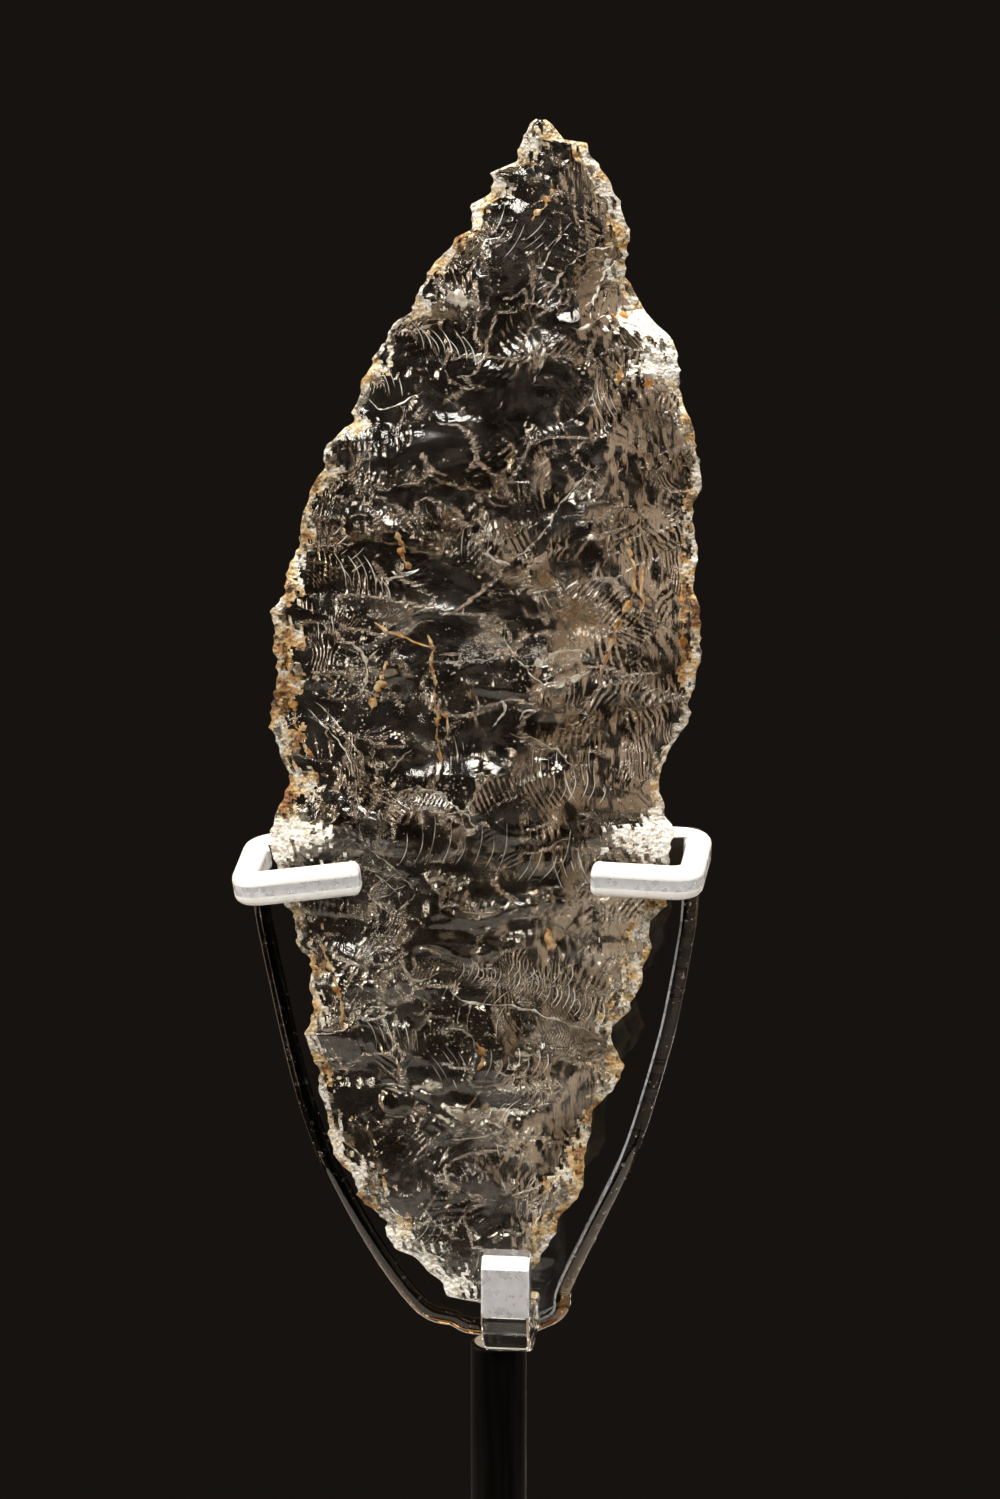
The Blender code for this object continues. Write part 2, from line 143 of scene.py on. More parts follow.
def slowWaves(x, z, period, seed):
    # seven plane waves in seeded directions, each about one period long, added and brought to about -1 to 1
    dice = np.random.default_rng(seed)
    total = np.zeros_like(x, dtype=float)
    for _ in range(7):
        turn = dice.uniform(0.0, 2.0 * np.pi)
        pace = 2.0 * np.pi / (period * dice.uniform(0.7, 1.5))
        phase = dice.uniform(0.0, 2.0 * np.pi)
        total += np.sin(pace * (x * np.cos(turn) + z * np.sin(turn)) + phase)
    return total / 3.0


# camera, at the photograph's viewing angle

cameraView = {
    "target": (0.28, -1.5, 122.06),
    "azimuth": 6.0,
    "elevation": 18.0,
    "distance": 900.0,
    "lens": 245.6,
    "sensor": 36.0,
    "nearest": 0.01,        # clipping, in metres
    "farthest": 20.0,
}


def makeCamera(view):
    # the camera stands at the azimuth, elevation and distance from its target and looks at it
    turn = np.radians(view["azimuth"])
    rise = np.radians(view["elevation"])
    back = np.array([np.sin(turn) * np.cos(rise), -np.cos(turn) * np.cos(rise), np.sin(rise)])
    place = np.array(view["target"]) + back * view["distance"]
    data = bpy.data.cameras.new("viewCamera")
    data.lens = view["lens"]
    data.sensor_width = view["sensor"]
    data.clip_start = view["nearest"]
    data.clip_end = view["farthest"]
    camera = placeObject("viewCamera", data)
    camera.location = tuple(place * mm)
    camera.rotation_euler = (np.pi / 2.0 - rise, 0.0, turn)
    bpy.context.scene.camera = camera


makeCamera(cameraView)
print("camera placed")


# the blade's form

bladeForm = {
    "base": 69.8,           # height of its lowest point
    "planeY": -1.3,         # plane of its edge
    "frontDepth": 4.1,
    "backDepth": 3.8,
    "rows": 432,
    "columns": 106,
    "bulgePower": 2.4,
    "edgePower": 0.85,
    "leastShare": 0.3,
    "edgeWander": 0.5,
    "wanderRun": 8.0,
    "toothDepth": 0.42,     # small chips along the edge
    "toothPeriod": 2.6,
    "retouchStep": 2.1,     # spacing of the small scars that trim the edge
    "backStep": 6.4,        # spacing, length, half width and depth of the back's main scars
    "backLength": 16.0,
    "backWidth": 3.9,
    "backScarDepth": 1.15,
    "frontCrossings": (36, 61),   # how many middling scars cut across the main ones, and their seed
    "backCrossings": (34, 62),
    "dishCount": 400,       # shallow dishes between the main scars
    "rippleHeight": 0.085,
    "thinnest": 0.07,
    "lipWidth": 0.30,       # the hollow along a white crack
    "lipDepth": 0.12,
    "frontSeed": 3,         # seeds of the dishes and waves, of the small scars, and of the edges' chips
    "backSeed": 8,
    "frontRetouch": 11,
    "backRetouch": 23,
    "leftTeeth": 31,
    "rightTeeth": 47,
}

# how deep the lens is along the blade: heights above the base, and shares of the full depth there
depthHeights = (0.0, 6.0, 20.0, 45.0, 70.0, 92.0, 104.0, 109.5)
depthShares = (0.15, 0.44, 0.76, 1.0, 0.93, 0.68, 0.39, 0.1)

# the two edges from base to tip: distance to the right of the rod's axis, height above the base
leftEdge = np.array([
    (-1.6, 0.0), (-4.5, 0.5), (-5.0, 1.5), (-7.9, 4.3), (-9.3, 4.9), (-10.0, 5.7), (-10.2, 7.3),
    (-12.4, 9.2), (-13.2, 12.2), (-14.9, 13.6), (-17.3, 24.9), (-16.8, 28.9), (-17.1, 32.1),
    (-18.0, 33.1), (-18.5, 36.0), (-19.5, 36.9), (-20.6, 43.7), (-18.6, 48.4), (-18.6, 49.4),
    (-19.5, 50.6), (-20.5, 53.5), (-19.6, 59.8), (-20.3, 62.9), (-20.1, 64.6), (-19.2, 66.0),
    (-16.2, 76.6), (-15.3, 78.1), (-15.2, 79.4), (-14.3, 80.9), (-13.0, 81.9), (-12.5, 84.4),
    (-10.2, 89.6), (-7.8, 92.1), (-6.3, 95.5), (-4.3, 98.2), (-2.8, 99.6), (-2.6, 101.4),
    (-1.1, 102.7), (-0.7, 104.5), (1.3, 105.6), (1.4, 106.5), (2.8, 109.1), (3.4, 109.5),
])
rightEdge = np.array([
    (0.7, 0.0), (4.8, 5.4), (5.4, 7.1), (7.4, 10.4), (7.9, 11.7), (7.9, 14.4), (9.1, 18.8),
    (10.1, 19.6), (11.5, 22.7), (10.4, 26.9), (12.1, 28.2), (12.1, 29.1), (12.6, 29.7),
    (13.7, 33.6), (13.9, 36.4), (15.3, 38.0), (15.9, 45.5), (14.5, 48.8), (14.6, 50.3),
    (14.8, 51.4), (17.4, 55.8), (17.3, 57.7), (18.1, 60.7), (18.2, 64.1), (17.6, 69.2),
    (17.8, 71.6), (17.4, 73.0), (17.5, 75.2), (18.1, 76.5), (17.9, 81.5), (16.3, 85.8),
    (15.8, 89.2), (15.2, 90.6), (13.7, 91.8), (11.3, 95.5), (11.8, 97.6), (11.8, 99.3),
    (10.9, 102.8), (7.7, 107.6), (5.9, 107.7), (4.9, 109.0), (4.2, 109.5),
])

feather = 4.0   # a scar that runs out gently
hinge = 14.0    # a scar that stops in a step
# main scars of the front: side, height on the edge, upward angle, length, half width, depth, ending
frontScars = [
    ("left", 104.0, -25.0, 7.0, 2.6, 0.5, feather), ("left", 99.0, -20.0, 11.0, 3.4, 0.6, feather),
    ("left", 92.5, -5.0, 10.0, 2.8, 0.7, feather), ("left", 88.0, -15.0, 15.0, 3.6, 1.0, feather),
    ("left", 82.0, -10.0, 14.0, 3.4, 0.9, feather), ("left", 77.5, -8.0, 17.0, 4.2, 1.2, hinge),
    ("left", 71.5, -5.0, 14.0, 3.0, 0.8, feather), ("left", 67.0, -6.0, 20.0, 3.6, 1.3, feather),
    ("left", 62.0, -2.0, 23.0, 3.6, 1.5, hinge), ("left", 56.5, 3.0, 14.0, 3.2, 0.9, feather),
    ("left", 51.5, -22.0, 12.0, 2.6, 1.1, hinge), ("left", 46.5, -4.0, 10.0, 3.2, 0.9, feather),
    ("left", 40.0, -12.0, 15.0, 3.8, 1.2, hinge), ("left", 33.5, -8.0, 12.0, 2.8, 0.9, feather),
    ("left", 28.0, 5.0, 15.0, 3.2, 1.0, feather), ("left", 22.5, 4.0, 14.0, 3.4, 1.1, feather),
    ("left", 17.0, -6.0, 11.0, 2.6, 0.8, feather), ("left", 12.0, 6.0, 12.0, 2.8, 0.9, feather),
    ("left", 6.5, 20.0, 9.0, 2.6, 0.7, feather), ("right", 104.0, -35.0, 8.0, 2.8, 0.6, feather),
    ("right", 98.5, -32.0, 16.0, 4.2, 1.0, hinge), ("right", 91.0, -28.0, 13.0, 3.2, 1.1, feather),
    ("right", 85.5, -12.0, 15.0, 3.6, 1.0, feather), ("right", 79.0, -10.0, 17.0, 3.6, 1.1, feather),
    ("right", 72.0, -18.0, 15.0, 3.8, 1.2, feather), ("right", 65.5, -12.0, 14.0, 3.2, 1.0, feather),
    ("right", 60.0, -3.0, 15.0, 3.0, 1.6, hinge), ("right", 54.5, 2.0, 27.0, 5.2, 1.9, hinge),
    ("right", 49.5, -4.0, 8.0, 3.0, 1.4, hinge), ("right", 43.5, -4.0, 22.0, 4.6, 1.4, feather),
    ("right", 36.0, 2.0, 18.0, 3.8, 1.1, feather), ("right", 30.5, 4.0, 12.0, 2.8, 0.9, feather),
    ("right", 24.5, 24.0, 20.0, 3.4, 1.6, hinge), ("right", 19.0, 8.0, 15.0, 3.2, 1.3, feather),
    ("right", 13.5, 2.0, 9.0, 2.4, 0.8, feather), ("right", 8.5, 6.0, 13.0, 3.2, 1.1, hinge),
    ("right", 3.0, 45.0, 9.0, 2.4, 0.6, feather),
]
bladeLength = 109.5   # from its lowest point to the tip


def edgeAt(side, height):
    # how far right of the axis an edge is at a height above the base, straight between its points
    edge = leftEdge if side == "left" else rightEdge
    return np.interp(height, edge[:, 1], edge[:, 0])


def backScars():
    # scars laid up both edges of the back, a step apart, each a little unlike its neighbours by a slow wave
    form = bladeForm
    scars = []
    for number in range(int((bladeLength - 4.0) / form["backStep"])):
        for side, shift in (("left", 0.0), ("right", 0.5)):
            height = 4.0 + (number + shift) * form["backStep"]
            swing = np.sin(2.4 * number + 3.0 * shift)
            wide = edgeAt("right", height) - edgeAt("left", height)
            length = min(form["backLength"] * (1.0 + 0.3 * swing), 0.62 * wide)
            depth = form["backScarDepth"] * (1.0 + 0.25 * swing) * min(1.0, wide / 25.0)
            scars.append((side, height, -8.0 + 9.0 * swing, length, form["backWidth"], depth, feather))
    return scars


def retouchScars(seed):
    # small scars that trim both edges, a seeded distance apart
    dice = np.random.default_rng(seed)
    scars = []
    for side in ("left", "right"):
        height = 1.5
        while height < bladeLength - 1.5:
            length = dice.uniform(2.2, 5.5)
            half = dice.uniform(0.8, 1.7)
            depth = dice.uniform(0.3, 0.75)
            ending = hinge if dice.uniform() < 0.4 else feather
            scars.append((side, height, dice.uniform(-25.0, 20.0), length, half, depth, ending))
            height += bladeForm["retouchStep"] * dice.uniform(0.6, 1.4)
    return scars


def keepDeepest(field, scoop, ripple, rings):
    # a field is the deepest scoop, the next one below it, and the ripple and rings of the deepest
    best, second, oldRipple, oldRings = field
    wins = scoop > best
    return (np.maximum(best, scoop), np.where(wins, best, np.maximum(second, scoop)),
            np.where(wins, ripple, oldRipple), np.where(wins, rings, oldRings))


def scarField(x, z, scars):
    # each scar is a trough along its line, depth*(1 - reach**ending - (across/half)**2); the deepest wins.
    # its ripples are waves around the scar's start, and the rings count the finest of them from there
    field = (np.zeros_like(x),) * 4
    for number, (side, height, angle, length, half, depth, ending) in enumerate(scars):
        inward = 1.0 if side == "left" else -1.0
        alongX = inward * np.cos(np.radians(angle))
        alongZ = np.sin(np.radians(angle))
        offX = x - edgeAt(side, height)
        offZ = z - height
        along = offX * alongX + offZ * alongZ
        across = offZ * alongX - offX * alongZ
        reach = np.clip(along, 0.0, 1.5 * length) / length
        fade = np.clip(1.0 - reach ** ending - (across / half) ** 2, 0.0, None)
        ring = np.hypot(along + 0.35 * length, 0.8 * across)
        period = 0.9 + 0.055 * length + 0.25 * np.sin(1.7 * number)
        beat = 0.55 + 0.45 * np.sin(0.9 * ring + number)
        strength = np.clip(3.0 * fade, 0.0, 1.0) * (0.35 + 0.65 * np.clip(reach, 0.0, 1.0))
        wave = np.sin(2.0 * np.pi * ring / period + number) * beat * strength * min(1.0, length / 12.0)
        field = keepDeepest(field, depth * fade, wave, ring / (0.55 + 0.2 * np.sin(2.9 * number)))
    return field


def dishField(x, z, seed):
    # seeded shallow dishes, depth*(1 - (along/longHalf)**2 - (across/shortHalf)**2); the deepest wins, so
    # they meet in crisp ridges
    dice = np.random.default_rng(seed)
    field = (np.zeros_like(x),) * 4
    for _ in range(bladeForm["dishCount"]):
        centreZ = dice.uniform(2.0, bladeLength - 2.0)
        low = edgeAt("left", centreZ)
        high = edgeAt("right", centreZ)
        centreX = low + (high - low) * dice.uniform(0.04, 0.96)
        turn = dice.normal(0.0, 0.8)
        longHalf = 1.7 + 5.5 * dice.uniform() ** 1.7
        shortHalf = longHalf * dice.uniform(0.4, 0.85)
        depth = shortHalf * dice.uniform(0.12, 0.28)
        along = (x - centreX) * np.cos(turn) + (z - centreZ) * np.sin(turn)
        across = (z - centreZ) * np.cos(turn) - (x - centreX) * np.sin(turn)
        fade = np.clip(1.0 - (along / longHalf) ** 2 - (across / shortHalf) ** 2, 0.0, None)
        side = 1.0 if centreX < 0.5 * (low + high) else -1.0
        ring = np.hypot(along * side + 1.4 * longHalf, 0.9 * across)
        wave = np.sin(2.0 * np.pi * ring / dice.uniform(0.75, 1.3)) * np.clip(2.0 * fade, 0.0, 1.0)
        wave = wave * dice.uniform(0.1, 0.75)
        field = keepDeepest(field, depth * fade, wave, ring / dice.uniform(0.45, 0.8))
    return field


def resample(line, step, cuts=2):
    # a drawn line of (x, z) points, its corners cut twice, then points a step apart
    line = np.asarray(line, dtype=float)
    for _ in range(cuts):
        near = 0.75 * line[:-1] + 0.25 * line[1:]
        far = 0.25 * line[:-1] + 0.75 * line[1:]
        line = np.concatenate([line[:1], np.stack([near, far], axis=1).reshape(-1, 2), line[-1:]])
    run = np.concatenate([[0.0], np.cumsum(np.hypot(*np.diff(line, axis=0).T))])
    even = np.linspace(0.0, run[-1], max(5, int(run[-1] / step) + 1))
    return np.stack([np.interp(even, run, line[:, 0]), np.interp(even, run, line[:, 1])], axis=-1)


# white cracks, and white ribbons along the lips of hinge fractures that paint the light caught there (painted
# highlights): line, half width, half depth, how far below the face
whiteLines = (
    (((1.3, 54.4), (2.6, 53.8), (3.3, 54.2), (4.9, 53.0), (5.6, 53.2), (6.1, 52.1), (7.5, 51.1)),
     0.13, 0.2, 0.1),
    (((1.0, 65.0), (1.0, 62.9), (2.5, 61.0), (5.0, 58.9)), 0.08, 0.2, 0.1),
    (((2.7, 60.9), (4.2, 61.4), (6.0, 62.6)), 0.46, 0.2, 0.06),
    (((5.6, 62.4), (7.2, 62.5), (8.4, 61.8)), 0.16, 0.2, 0.08),
    (((5.1, 58.8), (6.7, 59.6), (8.4, 60.2)), 0.26, 0.2, 0.06),
    (((0.6, 57.6), (1.0, 56.6), (-0.2, 54.8)), 0.16, 0.2, 0.08),
    (((2.2, 55.6), (2.6, 56.6), (3.6, 56.7)), 0.12, 0.2, 0.08),
    (((8.9, 79.1), (7.2, 77.3), (5.7, 75.6), (4.8, 73.6), (3.3, 71.9), (1.7, 70.5)), 0.10, 0.15, 0.06),
    (((-1.0, 71.1), (0.5, 70.4), (1.5, 70.1)), 0.28, 0.2, 0.1),
    (((10.2, 92.0), (11.4, 91.7), (12.6, 91.0), (14.0, 90.0)), 0.16, 0.15, 0.08),
    (((13.6, 89.5), (13.2, 88.0), (14.4, 86.6)), 0.2, 0.15, 0.08),
    (((-4.9, 94.2), (-3.4, 93.5), (-1.5, 93.3)), 0.62, 0.12, 0.2),
    (((6.7, 100.6), (5.1, 98.8), (4.0, 96.5), (3.0, 93.0)), 0.10, 0.15, 0.06),
    (((9.9, 98.4), (8.2, 98.2), (6.5, 97.0), (5.2, 95.2), (4.5, 93.6)), 0.16, 0.15, 0.06),
    (((11.2, 97.2), (9.9, 96.7), (9.2, 95.7), (8.6, 94.0), (8.2, 92.1)), 0.16, 0.15, 0.06),
    (((-10.2, 90.1), (-8.4, 90.0), (-6.9, 90.4), (-4.9, 91.4)), 0.12, 0.12, 0.06),
    (((-11.4, 83.9), (-10.2, 82.9), (-8.4, 83.8), (-6.4, 85.1)), 0.08, 0.12, 0.06),
    (((7.2, 91.3), (8.6, 91.8), (9.6, 92.3)), 0.18, 0.15, 0.06),
    (((4.4, 89.7), (4.1, 87.8), (3.2, 86.3)), 0.12, 0.15, 0.08),
    (((-3.4, 31.3), (-3.8, 29.8), (-1.6, 29.2), (2.4, 29.0), (6.0, 27.6), (9.5, 25.9)), 0.14, 0.2, 0.06),
    (((-10.9, 20.6), (-9.6, 21.0), (-8.0, 20.9)), 0.06, 0.12, 0.1),
    (((-10.0, 17.9), (-9.0, 17.7), (-8.2, 17.9)), 0.05, 0.12, 0.1),
    (((-8.4, 33.2), (-7.6, 31.6), (-6.4, 31.1), (-4.9, 32.0)), 0.10, 0.15, 0.1),
    (((-12.6, 62.3), (-11.4, 60.8), (-11.2, 58.9), (-11.9, 57.3)), 0.22, 0.3, 0.2),
    (((-10.2, 61.8), (-11.2, 60.6)), 0.2, 0.3, 0.2),
    (((-8.6, 48.6), (-7.2, 49.4), (-5.0, 49.1), (-3.8, 48.3), (-2.2, 47.1), (-1.3, 45.4)), 0.12, 0.2, 0.06),
    (((-7.8, 48.3), (-6.0, 49.3), (-4.2, 48.9)), 0.2, 0.15, 0.05),
    (((-16.8, 55.6), (-14.2, 53.4), (-12.6, 50.9), (-12.2, 48.2)), 0.09, 0.15, 0.06),
    (((-16.2, 56.4), (-13.6, 54.3), (-11.9, 51.8)), 0.05, 0.12, 0.06),
    (((-9.2, 50.4), (-8.2, 51.9), (-7.3, 52.6)), 0.11, 0.15, 0.08),
    (((-11.2, 52.2), (-10.4, 50.6), (-10.6, 50.0)), 0.07, 0.15, 0.08),
    (((-11.6, 43.8), (-9.4, 42.2), (-7.6, 40.6), (-6.9, 39.4)), 0.06, 0.12, 0.08),
    (((-6.9, 39.4), (-8.2, 38.0), (-9.4, 37.2)), 0.09, 0.12, 0.08),
    (((-9.4, 37.2), (-11.0, 38.6), (-12.2, 40.0)), 0.08, 0.12, 0.08),
    (((-10.6, 41.0), (-8.8, 39.6), (-8.2, 38.4)), 0.04, 0.1, 0.1),
    (((-11.2, 39.6), (-9.8, 40.4), (-8.6, 41.2)), 0.04, 0.1, 0.1),
    (((-10.4, 38.6), (-9.0, 39.4), (-7.8, 40.2)), 0.04, 0.1, 0.1),
    (((-4.7, 26.1), (-3.4, 27.0), (-2.2, 26.4), (-1.6, 25.1)), 0.15, 0.2, 0.1),
    (((5.8, 15.4), (5.4, 12.8), (4.4, 10.5), (3.1, 6.6)), 0.08, 0.12, 0.1),
    (((-14.9, 15.5), (-12.6, 14.4), (-11.3, 12.4), (-10.4, 9.9), (-7.7, 7.2)), 0.09, 0.15, 0.1),
    (((-3.0, 16.1), (-0.6, 16.6), (1.6, 17.6)), 0.05, 0.12, 0.08),
)

# grooves that only bend the light: the dark ring and the dark bar low on the face: line, half width, depth
darkGrooves = (
    (((-10.8, 19.3), (-10.3, 20.5), (-9.0, 20.9), (-7.7, 20.4), (-7.2, 19.2), (-7.8, 18.0), (-9.0, 17.6),
      (-10.3, 18.1), (-10.8, 19.3)), 0.40, 0.34),
    (((-0.4, 19.2), (2.0, 19.1), (4.4, 19.1)), 0.50, 0.38),
    (((3.9, 18.6), (4.0, 16.4)), 0.40, 0.25),
    (((4.4, 60.6), (5.8, 61.3), (7.6, 61.2)), 0.80, 0.55),
)


def grooveField(x, z, grooves):
    # a groove along each drawn line: depth*exp(-(distance/halfWidth)**2), the deepest wins
    best = np.zeros_like(x)
    for line, wide, depth in grooves:
        path = resample(line, 0.8)
        for (x0, z0), (x1, z1) in zip(path[:-1], path[1:]):
            runX, runZ = x1 - x0, z1 - z0
            share = np.clip(((x - x0) * runX + (z - z0) * runZ) / (runX ** 2 + runZ ** 2 + 1e-9), 0.0, 1.0)
            away = np.hypot(x - x0 - share * runX, z - z0 - share * runZ)
            best = np.maximum(best, depth * np.exp(-(away / wide) ** 2))
    return best


# calm places of the front, without dishes or ripples: middle, half width and half height
calmPlaces = (
    (-10.5, 65.0, 5.5, 1.8), (-2.5, 63.6, 4.5, 2.2), (-5.7, 45.2, 3.4, 2.8), (0.8, 97.0, 2.6, 3.4),
    (-4.0, 80.2, 2.6, 2.6), (-0.5, 12.8, 4.4, 2.4), (5.4, 55.0, 3.4, 2.2),
)


def calmShare(x, z):
    # near one inside each place, by exp(-(the ellipse's own distance)**4)
    total = np.zeros_like(x)
    for middleX, middleZ, wide, high in calmPlaces:
        away = ((x - middleX) / wide) ** 2 + ((z - middleZ) / high) ** 2
        total = np.maximum(total, np.exp(-away ** 2))
    return total


def faceHeight(x, z, share, name):
    # height of a face over the edge's plane: the smooth lens less its scars and dishes, plus ripples.
    # the scars eat only the free part of the lens, by free*exp(-depth/free), so it never gets too thin.
    # gives that height, the depth of the main scar, how far the next one is below it, and the rings
    form = bladeForm
    isFront = name == "front"
    scars = frontList if isFront else backList
    seed = form[name + "Seed"]
    cross = np.clip(1.0 - np.abs(2.0 * share - 1.0) ** form["bulgePower"], 0.0, 1.0) ** form["edgePower"]
    smooth = cross * np.interp(z, depthHeights, depthShares) * form[name + "Depth"]
    warpX = x + 1.4 * slowWaves(x, z, 14.0, seed + 20) + 0.25 * slowWaves(x, z, 3.5, seed + 22)
    warpZ = z + 1.7 * slowWaves(x, z, 13.0, seed + 21) + 0.25 * slowWaves(x, z, 3.0, seed + 23)
    scarDepth, nextDepth, scarRipple, scarRings = scarField(warpX, warpZ, scars)
    dishDepth, _, dishRipple, dishRings = dishField(x, z, seed)
    lively = 1.0 - (calmShare(x, z) if isFront else 0.0)
    depth = scarDepth + dishDepth * (0.25 + 0.75 * lively)
    free = np.maximum(smooth * (1.0 - form["leastShare"]), 1e-6)
    height = smooth * form["leastShare"] + free * np.exp(-depth / free)
    ripple = form["rippleHeight"] * (scarRipple + 0.7 * dishRipple) * lively
    height = height + ripple * np.clip(height / 1.2, 0.0, 1.0)
    height = height + 0.02 * slowWaves(x, z, 1.1, seed + 5) * np.clip(height, 0.0, 1.0)
    if isFront:
        height = height - grooveField(x, z, frontGrooves) * np.clip(height / 1.5, 0.0, 1.0)
    height = np.clip(height, form["thinnest"] * np.clip(6.0 * cross, 0.0, 1.0), smooth + 0.02)
    rings = np.where(dishDepth > 0.6 * scarDepth, dishRings, scarRings)
    rings = np.where(lively < 0.5, 0.0, rings)
    return height, scarDepth, scarDepth - nextDepth, rings


def edgeTeeth(z, seed):
    # chips inwards of the drawn edge: the size of two waves, so rounded chips meet in sharp teeth
    teeth = np.clip(np.abs(slowWaves(z, z * 0.0, 2.0 * bladeForm["toothPeriod"], seed)), 0.0, 1.2)
    fine = np.clip(np.abs(slowWaves(z, z * 0.0, 2.0, seed + 1)), 0.0, 1.0)
    ends = np.clip(np.minimum(z, bladeLength - z) / 2.0, 0.0, 1.0)
    return bladeForm["toothDepth"] * (0.8 * teeth + 0.6 * fine) * ends


def middlePlane(z, share):
    # the edge's plane wanders a little in depth, most at the two edges
    form = bladeForm
    ends = np.clip(np.minimum(z, bladeLength - z) / form["wanderRun"], 0.0, 1.0)
    leftWander = np.sin(0.37 * z + 0.6) + 0.5 * np.sin(0.93 * z)
    rightWander = np.sin(0.33 * z + 2.1) + 0.5 * np.sin(0.81 * z + 1.0)
    bend = (1.0 - share) ** 3 * leftWander + share ** 3 * rightWander
    return form["planeY"] + form["edgeWander"] * ends * bend


def crossingScars(count, seed):
    # middling scars that cut across the main ones at seeded angles
    dice = np.random.default_rng(seed)
    scars = []
    for _ in range(count):
        side = "left" if dice.uniform() < 0.5 else "right"
        height = dice.uniform(6.0, bladeLength - 8.0)
        length = dice.uniform(6.0, 17.0) * min(1.0, (edgeAt("right", height) - edgeAt("left", height)) / 30.0)
        half = length * dice.uniform(0.16, 0.32)
        ending = hinge if dice.uniform() < 0.5 else feather
        scars.append((side, height, dice.uniform(-60.0, 50.0), length, half, dice.uniform(0.5, 1.5), ending))
    return scars


frontList = frontScars + crossingScars(*bladeForm["frontCrossings"]) + retouchScars(bladeForm["frontRetouch"])
backList = backScars() + crossingScars(*bladeForm["backCrossings"]) + retouchScars(bladeForm["backRetouch"])
# each white crack lies in a shallow hollow, apart from the widest one
hollows = [(line, bladeForm["lipWidth"], bladeForm["lipDepth"])
           for line, half, _, _ in whiteLines if half < 0.5]
frontGrooves = list(darkGrooves) + hollows


def frontAt(x, z):
    # Y of the front face under points given by distance from the axis and height above the base
    low = edgeAt("left", z)
    high = edgeAt("right", z)
    share = np.clip((x - low) / np.maximum(high - low, 0.1), 0.0, 1.0)
    return middlePlane(z, share) - faceHeight(x, z, share, "front")[0]


# stains and crushed stretches of the edge: side, from, to, width of the band, how brown; a stretch with
# hardly any brown is crushed white as a painted glare, at the base's left, above both side hooks and on the
# right shoulder
edgeStretches = (
    ("left", 0.0, 7.0, 5.0, 0.0), ("left", 6.0, 16.0, 3.4, 0.35), ("left", 16.0, 30.0, 1.9, 0.35),
    ("left", 30.0, 40.0, 2.2, 0.35), ("left", 41.2, 45.6, 9.0, 0.0), ("left", 45.5, 67.0, 3.4, 0.55),
    ("left", 67.0, 80.0, 1.8, 0.35), ("left", 80.0, 97.0, 1.8, 0.3), ("left", 97.0, 109.5, 2.2, 0.3),
    ("right", 0.0, 16.0, 3.4, 0.4), ("right", 16.0, 27.0, 1.7, 0.4), ("right", 27.0, 41.0, 3.0, 0.45),
    ("right", 42.4, 46.8, 8.5, 0.0), ("right", 46.5, 57.0, 1.3, 0.3), ("right", 57.0, 74.0, 2.0, 0.55),
    ("right", 74.0, 86.0, 1.4, 0.4), ("right", 86.6, 92.6, 5.6, 0.1), ("right", 91.5, 96.0, 2.4, 0.3),
    ("right", 96.0, 109.5, 2.4, 0.35),
)


crustForm = {
    "plainWidth": 0.6,      # width of the crushed rim between the stretches
    "plainBrown": 0.06,
    "raggedSeed": 91,
    "arrisGap": 0.028,      # a ridge between two scars is crushed where they are this nearly even
    "arrisDepth": 0.3,
    "arrisShare": 0.7,
    "backShare": 0.8,       # the back's crushed rim against the front's
    # painted glare: a stretch with no more brown than this is crushed white
    "glareBelow": 0.1,      # a stretch with no more brown than this is crushed white
    "stainReach": 7.5,
    "innerStain": 0.05,
    "shake": 0.16,          # how far the rim wanders in depth from one grain to the next
    "shakeSeed": 71,
}


def stretchValue(nearLeft, z, column, plain):
    # a column of the nearer edge's stretches at each height, eased over two millimetres at either end
    total = np.full_like(z, plain)
    for row in edgeStretches:
        ease = np.clip((z - row[1]) / 2.0 + 0.5, 0.0, 1.0) * np.clip((row[2] - z) / 2.0 + 0.5, 0.0, 1.0)
        risen = np.maximum(total, plain + (row[column] - plain) * ease)
        total = np.where(nearLeft == (row[0] == "left"), risen, total)
    return total


def glareStretch(nearLeft, z):
    # true where a stretch of the nearer edge is crushed white as a painted glare, with hardly any brown in it
    hit = np.zeros(z.shape, dtype=bool)
    for side, low, high, _, brown in edgeStretches:
        if brown <= crustForm["glareBelow"]:
            hit |= (nearLeft == (side == "left")) & (z > low) & (z < high)
    return hit


def gridFaces(number):
    # quads of a grid of vertex numbers
    quads = [number[:-1, :-1], number[:-1, 1:], number[1:, 1:], number[1:, :-1]]
    return np.stack(quads, axis=-1).reshape(-1, 4)


